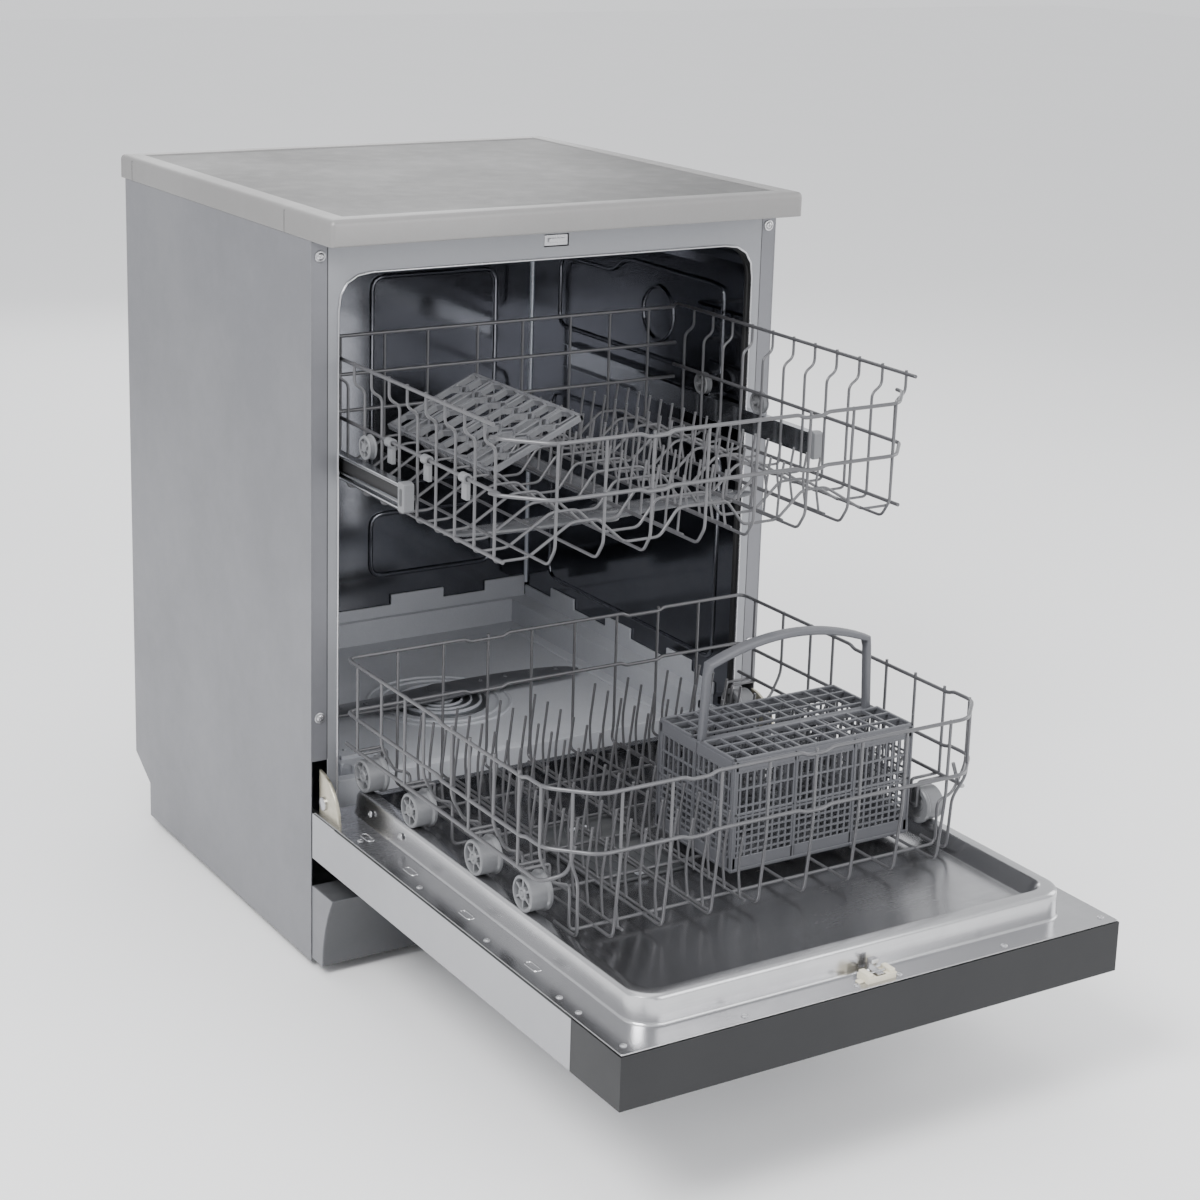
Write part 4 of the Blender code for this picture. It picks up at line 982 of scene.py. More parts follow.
@dataclass
class Tub:
    """The stainless tub with its pressed shapes, its plastic floor and what stands in it."""

    half_width: float = 0.272
    ceiling: float = 0.79
    back: float = 0.262
    front: float = -0.243
    floor_rim: float = 0.2175
    cap_length: float = 0.014
    sump: Flat = (0.0, 0.01)
    sump_rings: tuple[float, ...] = (0.076, 0.09)
    filter_rings: tuple[float, ...] = (0.016, 0.028, 0.04, 0.052)
    salt_cap: Point = (-0.198, -0.15, 0.2012)
    ceiling_ribs: tuple[float, ...] = (-0.15, -0.05, 0.05, 0.15)

    def build(self) -> None:
        """Build and dress every piece."""
        # The tub's walls and back get the darkened stainless, painted shade of the tub's inside.
        dress(SHADED_TUB_STEEL, "tub_wrapper", "tub_back_wall")
        dress(BASE_PLASTIC, "tub_floor", "salt_cap")
        dress(MESH_STEEL, "filter_cup")
        dress(RAIL_STEEL, "left_outer_rail", "right_outer_rail")
        self.build_pressings()
        self.build_floor_trim()
        self.build_seal_lip()
        self.build_inner_rails()

    def build_pressings(self) -> None:
        """Build the raised frames and ribs of the walls, the back and the ceiling, and near-white wires that
        paint the highlight along the tub's back corners.
        """
        beads = Wires(0.0034, 0.018)
        for side in (-1, 1):
            x = side * (self.half_width + 0.0006)
            beads.run([(x, -0.185, 0.612), (x, 0.19, 0.612), (x, 0.19, 0.705), (x, 0.06, 0.705),
                       (x, 0.03, 0.725), (x, -0.185, 0.725)], closed=True)
            beads.run([(x, -0.19, 0.26), (x, 0.2, 0.26), (x, 0.2, 0.52), (x, -0.19, 0.52)], closed=True)
            ring = [(x, -0.045 + a, 0.668 + b) for a, b in arc((0, 0), 0.034, 0, 340, 17)]
            beads.run(ring, closed=True, bend=0.005)
        y = self.back - 0.0002
        for side in (-1, 1):
            inner, outer = side * 0.03, side * 0.215
            beads.run([(inner, y, 0.42), (side * 0.06, y, 0.4), (outer, y, 0.4), (outer, y, 0.68),
                       (inner, y, 0.68)], closed=True)
            beads.run([(inner, y, 0.275), (outer, y, 0.275), (outer, y, 0.36), (inner, y, 0.36)], closed=True)
        z = self.ceiling + 0.0006
        for x in self.ceiling_ribs:
            beads.run([(x + a, y, z) for a, y in ((-0.02, -0.19), (0.02, -0.19), (0.02, 0.21),
                                                  (-0.02, 0.21))], closed=True)
        # The beads get the same darkened stainless, painted shade.
        beads.place("tub_pressings", SHADED_TUB_STEEL, "cabinet", "stainless")
        # Near-white wires along the back corners and the ceiling's back edge: a painted highlight of the
        # light in the rounded corners.
        seams = Wires(0.0034, 0.03)
        low = 0.235
        seams.run([(-0.2722, y, low), (-0.2722, y, 0.79), (0.2722, y, 0.79), (0.2722, y, low)], bend=0.045)
        seams.place("tub_corner_highlight", PAINTED_CORNER_HIGHLIGHT, "cabinet", "stainless")

    def build_floor_trim(self) -> None:
        """Build the stepped upper edge of the plastic floor, round three sides."""
        trim = Shape()
        low, mid, high = self.floor_rim - 0.001, 0.232, 0.246
        steps = [(-0.2, low), (-0.2, mid), (-0.15, mid), (-0.15, high), (-0.095, high), (-0.095, mid),
                 (-0.01, mid), (-0.01, high), (0.05, high), (0.05, mid), (0.13, mid), (0.13, high),
                 (0.19, high), (0.19, mid), (0.258, mid), (0.258, low)]
        for side in (-1, 1):
            span = ends(side, self.half_width - 0.0004, self.half_width - 0.0034)
            trim.prism(steps, "x", *span)
        across = [(-0.268, low), (-0.268, high), (-0.19, high), (-0.19, mid), (-0.11, mid), (-0.11, high),
                  (-0.04, high), (-0.04, mid), (0.06, mid), (0.06, high), (0.14, high), (0.14, mid),
                  (0.205, mid), (0.205, high), (0.268, high), (0.268, low)]
        trim.prism(across, "y", self.back - 0.004, self.back - 0.0006)
        trim.place("floor_edge_trim", BASE_PLASTIC, "cabinet", "grey_plastic", bevel=0.0008)
        ribs = Wires(0.0022, 0.02)
        for radius in self.sump_rings:
            ring = [(a, b, 0.1852) for a, b in arc(self.sump, radius, 0, 350, 35)]
            ribs.run(ring, closed=True, bend=0.004)
        for x in (-0.225, 0.225):
            ribs.run([(x, -0.17, 0.1855), (x, 0.22, 0.1855)])
        ribs.place("floor_ribs", BASE_PLASTIC, "cabinet", "grey_plastic")
        cap = Shape()
        cap.spokes((0.0235, -0.0016, -0.013), (0.0292, 0.0016, 0.0006), self.salt_cap, "Z", 12)
        x, y, z = self.salt_cap
        cap.box((x - 0.018, y - 0.003, z - 0.001), (x + 0.018, y + 0.003, z + 0.004))
        cap.place("salt_cap_grip", BASE_PLASTIC, "salt_cover", "grey_plastic", bevel=0.0006)
        mesh = Shape()
        for radius in self.filter_rings:
            mesh.turned([(0.0, radius - 0.0015), (0.0, radius + 0.0015), (0.0038, radius + 0.001),
                         (0.0038, radius - 0.001)], (*self.sump, 0.1865), "z", 40, closed=True)
        mesh.place("filter_rings", BASE_PLASTIC, "filter", "grey_plastic")

    def build_seal_lip(self) -> None:
        """Build the round lip of the gasket."""
        lip = Wires(0.003, 0.03)
        x, y, z = self.half_width - 0.0033, self.front + 0.007, self.ceiling - 0.0055
        lip.run([(-x, y, 0.224), (-x, y, z), (x, y, z), (x, y, 0.224)], bend=0.042)
        lip.place("door_seal_lip", RUBBER, "cabinet", "rubber")
        lip = Wires(0.0012, 0.03)
        x, y, z = 0.2668, -0.2456, 0.7848
        lip.run([(-x, y, 0.19), (-x, y, z), (x, y, z), (x, y, 0.19)], bend=0.04)
        lip.place("opening_edge", SCREW_STEEL, "cabinet", "frame_paint")

    def build_inner_rails(self) -> None:
        """Build the drawn-out rails: a bright channel with a dark ball race, and a plastic end."""
        inner, outer, low, high, skin = 0.2557, 0.2662, 0.5642, 0.5908, 0.0015
        for side, word in SIDES:
            tip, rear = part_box(f"{word}_inner_rail")[0][1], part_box(f"{word}_inner_rail")[1][1]
            channel = Shape()
            profile = [(outer, low), (inner, low), (inner, high), (outer, high), (outer, high - skin),
                       (inner + skin, high - skin), (inner + skin, low + skin), (outer, low + skin)]
            channel.prism([(side * x, z) for x, z in profile], "y", tip + self.cap_length * 0.6, rear)
            channel.place(f"{word}_rail_channel", RAIL_STEEL, "inner_rails", "stainless",
                          [f"{word}_inner_rail"], bevel=0.0003)
            race = Shape()
            x0, x1 = ends(side, inner + 0.0012, inner + 0.0035)
            race.box((x0, tip + self.cap_length, low + 0.0055), (x1, rear - 0.002, high - 0.0055))
            race.place(f"{word}_ball_race", BLACK, "inner_rails", "stainless", bevel=0.0004)
            bead = Wires(0.0011, 0.002)
            for z in (low + 0.0048, high - 0.0048):
                bead.run([(side * (outer - 0.0042), tip + self.cap_length, z),
                          (side * (outer - 0.0042), rear - 0.002, z)])
            bead.place(f"{word}_rail_beads", SCREW_STEEL, "inner_rails", "stainless")
            cap = Shape()
            outline = [(tip, low - 0.001), (tip + 0.003, low - 0.0028), (tip + self.cap_length, low - 0.002),
                       (tip + self.cap_length, high + 0.0018), (tip + 0.006, high + 0.0028),
                       (tip, high + 0.001)]
            cap.prism(outline, "x", *ends(side, inner - 0.0013, outer + 0.0006))
            cap.place(f"{word}_rail_end", ROLLER_PLASTIC, "inner_rails", "stainless", bevel=0.001)
            slot = Shape()
            face = side * (outer + 0.0005)
            outline = rounded_box((tip + 0.0045, low + 0.004), (tip + 0.0095, high - 0.004), 0.0024, 6)
            slot.prism(outline, "x", *sorted((face, face + side * 0.0005)))
            slot.place(f"{word}_rail_end_slot", DARK_PLASTIC, "inner_rails", "stainless")


# ================================================================ door
@dataclass
class Door:
    """The lowered door with its pressed liner, fascia, latch, dispenser and hinges."""

    half_width: float = 0.2985
    tip: float = -0.88
    pivot_y: float = -0.247
    flange: float = 0.188
    rim: float = 0.2175
    dish: float = 0.199
    under: float = 0.134
    seam: float = -0.7955
    rim_half: float = 0.2615
    rim_top: float = 0.0165
    sheet: float = 0.0008
    boss_x: float = 0.277
    boss_y: tuple[float, ...] = (-0.34, -0.44, -0.56, -0.69)
    tip_screws: tuple[float, ...] = (-0.157, -0.027, 0.023, 0.155)
    side_screws: tuple[float, ...] = (-0.62, -0.48, -0.345)
    rim_screws: tuple[float, ...] = (-0.315, -0.385)
    dispenser: tuple[Flat, Flat] = ((-0.135, -0.585), (-0.03, -0.427))

    def build(self) -> None:
        """Build and dress every piece."""
        dress(DOOR_PAINT, "door_outer_panel")
        dress(CHARCOAL, "door_fascia")
        dress(CREAM, "latch_housing")
        dress(SCREW_STEEL, "latch_hook")
        dress(DARK_PLASTIC, "dispenser", "detergent_lid")
        dress(ZINC, "left_hinge_arm", "right_hinge_arm")
        self.build_liner()
        self.build_trim()
        self.build_screws()
        self.build_latch()
        self.build_hinges()
        self.build_dispenser()

    def build_liner(self) -> None:
        """Build the pressed sheet: a flange, a rounded rim on three sides and the shallow dish."""
        near = self.pivot_y - 0.004
        slope_start = near - 0.03
        half, rim_x = self.half_width - 0.001, self.rim_half
        far = self.tip + 0.001
        inner = rim_x - 0.004 - self.rim_top
        loops = [(half, far, near, 0.002, self.flange),
                 (half - 0.001, far + 0.001, near - 0.0005, 0.003, self.flange),
                 (rim_x + 0.001, self.tip + 0.029, near - 0.001, 0.032, self.flange)]
        for t in (15, 40, 65, 85):
            a = math.radians(t)
            loops.append((rim_x - 0.0025 * math.sin(a), self.tip + 0.03 + 0.0025 * math.sin(a), near - 0.003,
                          0.03, self.flange + 0.004 * (1 - math.cos(a))))
        loops.append((rim_x - 0.0035, self.tip + 0.0328, near - 0.004, 0.029, self.rim - 0.005))
        for t in (30, 60, 90):
            a = math.radians(t)
            loops.append((rim_x - 0.0035 - 0.004 * (1 - math.cos(a)),
                          self.tip + 0.0328 + 0.004 * (1 - math.cos(a)), near - 0.005, 0.028,
                          self.rim - 0.005 + 0.005 * math.sin(a)))
        for t in (90, 60, 30):
            a = math.radians(t)
            loops.append((inner + 0.004 * math.sin(a) - 0.0005, self.tip + 0.051 - 0.004 * math.sin(a),
                          near - 0.01, 0.022, self.rim - 0.004 * (1 - math.sin(a))))
        loops.append((inner - 0.004, self.tip + 0.056, near - 0.016, 0.018, self.dish + 0.003))
        loops.append((inner - 0.006, self.tip + 0.058, near - 0.018, 0.016, self.dish + 0.0006))
        loops.append((inner - 0.009, self.tip + 0.061, near - 0.022, 0.014, self.dish))
        loops.append((inner - 0.07, self.tip + 0.12, near - 0.08, 0.01, self.dish - 0.0015))
        rings = []
        for half_x, y_low, y_high, radius, z_far in loops:
            z_near = z_far if z_far <= self.dish else self.dish + 0.001
            ring = []
            for x, y in rounded_box((-half_x, y_low), (half_x, y_high), radius, 10):
                blend = min(1.0, max(0.0, (y - slope_start) / (y_high - slope_start)))
                ring.append((x, y, z_far + (z_near - z_far) * blend))
            rings.append(ring)
        shape = Shape()
        shape.loft(rings)
        shape.bm.verts.ensure_lookup_table()
        shape.bm.faces.new(shape.bm.verts[-len(rings[0]):])
        shape.place("door_liner_sheet", LINER_STEEL, "door", "stainless", ["door_liner"],
                    thickness=self.sheet)
        bosses = Wires(0.0014, 0.004)
        for side in (-1, 1):
            for y in self.boss_y:
                x = side * self.boss_x
                outline = rounded_box((x - 0.004, y - 0.011), (x + 0.004, y + 0.011), 0.0039, 4)
                bosses.run([(a, b, self.flange - 0.0002) for a, b in outline], closed=True, bend=0.001)
        bosses.place("liner_bosses", LINER_STEEL, "door", "stainless")

    def build_trim(self) -> None:
        """Build the black line between the outer panel and the liner, and the fascia's lines."""
        trim = Shape()
        z0, z1 = self.flange - 0.0018, self.flange - 0.0004
        for side in (-1, 1):
            x0, x1 = ends(side, self.half_width - 0.003, self.half_width + 0.0001)
            trim.box((x0, self.seam, z0), (x1, self.pivot_y - 0.056, z1))
        trim.place("door_side_gasket", RUBBER, "door", "rubber")
        line = Shape()
        line.box((-self.half_width - 0.0001, self.seam - 0.0003, self.under - 0.0004),
                 (self.half_width + 0.0001, self.seam + 0.0005, self.flange - 0.0012))
        line.place("fascia_seam", BLACK, "door", "charcoal_fascia")
        window = Shape()
        window.prism(rounded_box((-0.06, self.tip + 0.022), (0.06, self.tip + 0.056), 0.004, 6), "z",
                     self.under - 0.0006, self.under + 0.0004)
        window.place("display_window", BLACK, "door", "charcoal_fascia")
        for i, x in enumerate(spread(-0.2, -0.1, 4)):
            key = Shape()
            key.turned([(0.0004, 0.0066), (-0.0004, 0.0066), (-0.0006, 0.0058), (-0.0006, 0)],
                       (x, self.tip + 0.04, self.under), "z", 28)
            key.place(f"programme_key_{i + 1}", DARK_PLASTIC, "door", "charcoal_fascia")

    def build_screws(self) -> None:
        """Build the screws of the liner's flange and of the rim's side."""
        places = [(x, -0.8695) for x in self.tip_screws]
        places += [(-0.286, -0.864), (0.286, -0.866), (-0.288, -0.791), (-0.288, -0.757), (0.288, -0.791),
                   (0.288, -0.757)]
        places += [(side * 0.288, y) for side in (-1, 1) for y in self.side_screws]
        for x, y in places:
            SCREWS.put("liner", (x, y, self.flange + 0.0004), (0, 0, 1), "door", 0.0034)
        for side in (-1, 1):
            for y in self.rim_screws:
                SCREWS.put("rim", (side * (self.rim_half - 0.0005), y, 0.203), (side, 0, 0.12), "door",
                           0.0038)

    def build_latch(self) -> None:
        """Build the latch's side cheeks and clip."""
        latch = Shape()
        y0, y1, z = self.tip + 0.007, self.tip + 0.024, self.flange + 0.006
        for side in (-1, 1):
            span = ends(side, 0.01, 0.0165)
            latch.box((span[0], y0 + 0.001, z - 0.001), (span[1], y1 - 0.001, z + 0.0035))
            span = ends(side, 0.0165, 0.0235)
            latch.box((span[0], y0 + 0.005, self.flange + 0.0002), (span[1], y1 - 0.005, self.flange + 0.002))
        latch.place("latch_cheeks", CREAM, "door", "cream_plastic", bevel=0.001)
        pin = Shape()
        pin.turned([(-0.0095, 0), (-0.0095, 0.0012), (0.0095, 0.0012), (0.0095, 0)],
                   (0, self.tip + 0.015, z + 0.0008), "x", 14)
        pin.place("latch_pin", SCREW_STEEL, "door", "stainless")

    def build_hinges(self) -> None:
        """Build the pivot pins and the raised edge of the hinge plates."""
        for side, word in SIDES:
            outer = side * (self.half_width - 0.007)
            pin = Shape()
            pin.turned([(-side * 0.001, 0.0075), (side * 0.0022, 0.0075), (side * 0.003, 0.0062),
                        (side * 0.003, 0)], (outer, self.pivot_y - 0.016, self.flange + 0.014), "x", 28)
            pin.place(f"{word}_hinge_pin", SCREW_STEEL, "door", "zinc_steel")
            edge = Wires(0.0012, 0.003)
            path = arc((self.pivot_y - 0.0045, self.flange), 0.0485, 95, 176, 14)
            edge.run([(outer + side * 0.0002, y, z) for y, z in path], bend=0.001)
            edge.place(f"{word}_hinge_edge", ZINC, "door", "zinc_steel")

    def build_dispenser(self) -> None:
        """Build the dispenser's frame, catch and lid ribs."""
        (x0, y0), (x1, y1) = self.dispenser
        top = self.dish + 0.0015
        rim = Wires(0.0022, 0.008)
        rim.run([(x, y, top - 0.0008) for x, y in ((x0, y0), (x1, y0), (x1, y1), (x0, y1))], closed=True)
        rim.place("dispenser_rim", DARK_PLASTIC, "door", "grey_plastic")
        catch = Shape()
        catch.box((-0.09, y0 + 0.0015, top + 0.0001), (-0.075, y0 + 0.008, top + 0.0055))
        catch.place("dispenser_catch", BASE_PLASTIC, "door", "grey_plastic", bevel=0.0015)
        ribs = Shape()
        for x in spread(x0 + 0.02, x1 - 0.02, 7):
            ribs.box((x - 0.0012, y0 + 0.018, top + 0.0026), (x + 0.0012, y0 + 0.062, top + 0.004))
        ribs.place("detergent_lid_ribs", DARK_PLASTIC, "detergent_lid", "light_plastic", bevel=0.0004)
        cap = Shape()
        cap.box((-0.0935, -0.4565, top + 0.0018), (-0.0715, -0.4535, top + 0.0045))
        cap.place("rinse_aid_grip", BASE_PLASTIC, "door", "grey_plastic", bevel=0.0006)


# ================================================================ racks
@dataclass
class Wheel:
    """A spoked rack wheel with a flanged tread."""

    outer: float = 0.258
    tread: float = 0.02
    flange: float = 0.005
    radius: float = 0.0185
    flange_radius: float = 0.0205
    hub: float = 0.0072
    spokes: int = 6

    def build(self, side: int, word: str, number: int, y: float, z: float) -> None:
        """Build one wheel.

        Args:
            side: -1 on the left, 1 on the right.
            word: Name of that side.
            number: Its number from the front.
            y: Its place along the rack.
            z: Height of its axle.
        """
        inner = self.outer - self.tread - self.flange
        face = self.outer - 0.0016
        rim = Shape()
        profile = [(inner, self.radius - 0.004), (inner, self.flange_radius - 0.001),
                   (inner + 0.001, self.flange_radius), (inner + self.flange - 0.0012, self.flange_radius),
                   (inner + self.flange, self.flange_radius - 0.0012),
                   (inner + self.flange + 0.0008, self.radius), (self.outer - 0.0015, self.radius),
                   (self.outer - 0.0003, self.radius - 0.0012), (self.outer - 0.0003, self.radius - 0.003),
                   (face - 0.001, self.radius - 0.004), (inner + 0.004, self.radius - 0.004)]
        rim.turned([(side * a, r) for a, r in profile], (0, y, z), "x", 40, closed=True)
        hub = [(face, 0.003), (face + 0.0012, 0.004), (face + 0.0012, self.hub - 0.001), (face, self.hub),
               (inner + 0.003, self.hub), (inner + 0.003, 0.003)]
        rim.turned([(side * a, r) for a, r in hub], (0, y, z), "x", 28, closed=True)
        x0, x1 = ends(side, face - 0.009, face)
        rim.spokes((x0, -0.0012, self.hub - 0.001), (x1, 0.0012, self.radius - 0.0036), (0, y, z), "X",
                   self.spokes)
        x0, x1 = ends(side, inner + 0.004, inner + 0.0055)
        rim.turned([(x0, 0.003), (x0, self.radius - 0.003), (x1, self.radius - 0.003), (x1, 0.003)],
                   (0, y, z), "x", 28, closed=True)
        body = f"{word}_wheel_{number}"
        rim.place(f"{word}_roller_{number}", ROLLER_PLASTIC, body, "grey_plastic", [body], merge=False)


@dataclass
class LowerRack:
    """The lower rack: bent coated wire on eight wheels."""

    half: float = 0.263
    front: float = -0.719
    rear: float = -0.26
    top: float = 0.364
    mid: float = 0.303
    rail: float = 0.2665
    floor: float = 0.2078
    floor_half: float = 0.228
    chamfer: float = 0.04
    tine: float = 0.088
    wheel_y: tuple[float, ...] = (-0.6335, -0.5355, -0.3973, -0.2874)
    wheel_z: float = 0.2363
    hoops: tuple[float, ...] = (-0.674, -0.585, -0.499, -0.439, -0.344)
    rear_rows: tuple[float, ...] = (-0.185, -0.14, -0.085, -0.04, 0.04, 0.085, 0.14, 0.185)
    front_rows: tuple[float, ...] = (-0.185, -0.14, -0.085, -0.04)
    bracket_x: float = 0.23

    def build(self) -> None:
        """Build the whole rack."""
        self.build_rails()
        self.build_hoops()
        self.build_tines()
        wheel = Wheel()
        for side, word in SIDES:
            for number, y in enumerate(self.wheel_y, start=1):
                wheel.build(side, word, number, y, self.wheel_z)
        self.build_carriers()

    def loop(self, z: float, dip: float) -> list[Point]:
        """One rail round the rack, with its cut front corners and small waves.

        Args:
            z: Height of the rail.
            dip: Depth of its waves.

        Returns:
            The corners of the rail.
        """
        x, front, rear = self.half, self.front, self.rear
        cut = self.chamfer
        points = [(-x, rear, z), (-x, -0.47, z), (-x, -0.478, z - dip), (-x, -0.64, z - dip), (-x, -0.648, z),
                  (-x, front + cut, z), (-x + cut, front, z)]
        for start in (-0.13, 0.01):
            points += [(start, front, z), (start + 0.008, front, z - dip), (start + 0.03, front, z - dip),
                       (start + 0.038, front, z)]
        points += [(x - cut, front, z), (x, front + cut, z), (x, -0.648, z), (x, -0.64, z - dip),
                   (x, -0.478, z - dip), (x, -0.47, z), (x, rear, z)]
        for start in (0.15, -0.06):
            points += [(start, rear, z), (start - 0.006, rear, z - dip), (start - 0.05, rear, z - dip),
                       (start - 0.056, rear, z)]
        return points

    def build_rails(self) -> None:
        """Build the thick rails."""
        rails = Wires(0.0021, 0.012)
        rails.run(self.loop(self.top, 0.0035), closed=True)
        rails.run(self.loop(self.mid, 0.003), closed=True)
        for side in (-1, 1):
            x = side * self.half
            rails.run([(x, self.rear, self.rail), (x, self.front + self.chamfer + 0.004, self.rail),
                       (x - side * 0.022, self.front + self.chamfer - 0.012, self.rail + 0.01),
                       (x - side * 0.03, self.front + 0.03, self.mid)], bend=0.01)
        rails.place("lower_rack_rails", WIRE_COAT, "lower_rack", "coated_wire",
                    ["lower_rack_floor", "lower_rack_rear", "lower_rack_front", "lower_rack_left_side",
                     "lower_rack_right_side"])

    def build_hoops(self) -> None:
        """Build the thinner wires that run down, under and up again, both ways."""
        wires = Wires(0.0017, 0.009)
        x, inner = self.half, self.floor_half
        for y in self.hoops:
            side = [(x, y, self.top + 0.002), (x, y, self.mid - 0.012), (x - 0.016, y, self.rail - 0.006),
                    (inner, y, self.rail - 0.01), (inner, y, self.floor)]
            path = [(-a, b, c) for a, b, c in side] + list(reversed(side))
            wires.run(path)
        for y in self.wheel_y:
            for s in (-1, 1):
                wires.run([(s * x, y, self.top + 0.002), (s * x, y, self.mid - 0.01), (s * x, y, self.rail)])
        for at in spread(-0.2, 0.2, 8):
            front_top = self.top + 0.002
            wires.run([(at, self.front, front_top), (at, self.front + 0.001, self.mid - 0.02),
                       (at, self.front + 0.01, self.floor), (at, self.rear + 0.004, self.floor),
                       (at, self.rear, self.floor + 0.02), (at, self.rear, self.top + 0.002)])
        for s in (-1, 1):
            corner = s * (x - self.chamfer * 0.5)
            y = self.front + self.chamfer * 0.5
            wires.run([(corner, y, self.top + 0.002), (corner, y, self.mid - 0.012),
                       (corner - s * 0.012, y + 0.006, self.rail),
                       (corner - s * 0.014, y + 0.008, self.floor),
                       (corner - s * 0.014, y + 0.05, self.floor)])
        wires.place("lower_rack_hoops", WIRE_COAT, "lower_rack", "coated_wire")

    def build_tines(self) -> None:
        """Build the plate tines and the wires that carry them."""
        tines = Wires(0.0015, 0.005)
        low = self.floor + 0.0034
        for rows, start, end, count in ((self.rear_rows, -0.48, -0.285, 8),
                                        (self.front_rows, -0.695, -0.505, 8)):
            for x in rows:
                tines.run([(x, start - 0.008, low), (x, end + 0.008, low)])
                for y in spread(start, end, count):
                    tines.run([(x, y, low - 0.002), (x, y + 0.006, low + 0.03),
                               (x, y - 0.004, self.floor + self.tine)], bend=0.02)
        tines.place("lower_rack_tines", WIRE_COAT, "lower_rack", "coated_wire",
                    ["lower_rear_tines", "lower_front_tines"])

    def build_carriers(self) -> None:
        """Build the wire brackets and axles that hold the wheels."""
        wires = Wires(0.0018, 0.004)
        axles = Shape()
        for side in (-1, 1):
            for y in self.wheel_y:
                x = side * self.bracket_x
                wires.run([(side * self.half, y - 0.0055, self.rail),
                           (side * self.half, y - 0.0055, self.rail - 0.002),
                           (x, y - 0.0055, self.rail - 0.002), (x, y - 0.0055, self.wheel_z),
                           (x, y + 0.0055, self.wheel_z), (x, y + 0.0055, self.rail - 0.002),
                           (side * self.half, y + 0.0055, self.rail - 0.002),
                           (side * self.half, y + 0.0055, self.rail)])
                axles.turned([(side * 0.2295, 0), (side * 0.2295, 0.0028), (side * 0.2572, 0.0028),
                              (side * 0.2577, 0)], (0, y, self.wheel_z), "x", 16)
        wires.place("wheel_brackets", WIRE_COAT, "lower_rack", "coated_wire")
        axles.place("wheel_axles", ROLLER_PLASTIC, "lower_rack", "coated_wire", merge=False)


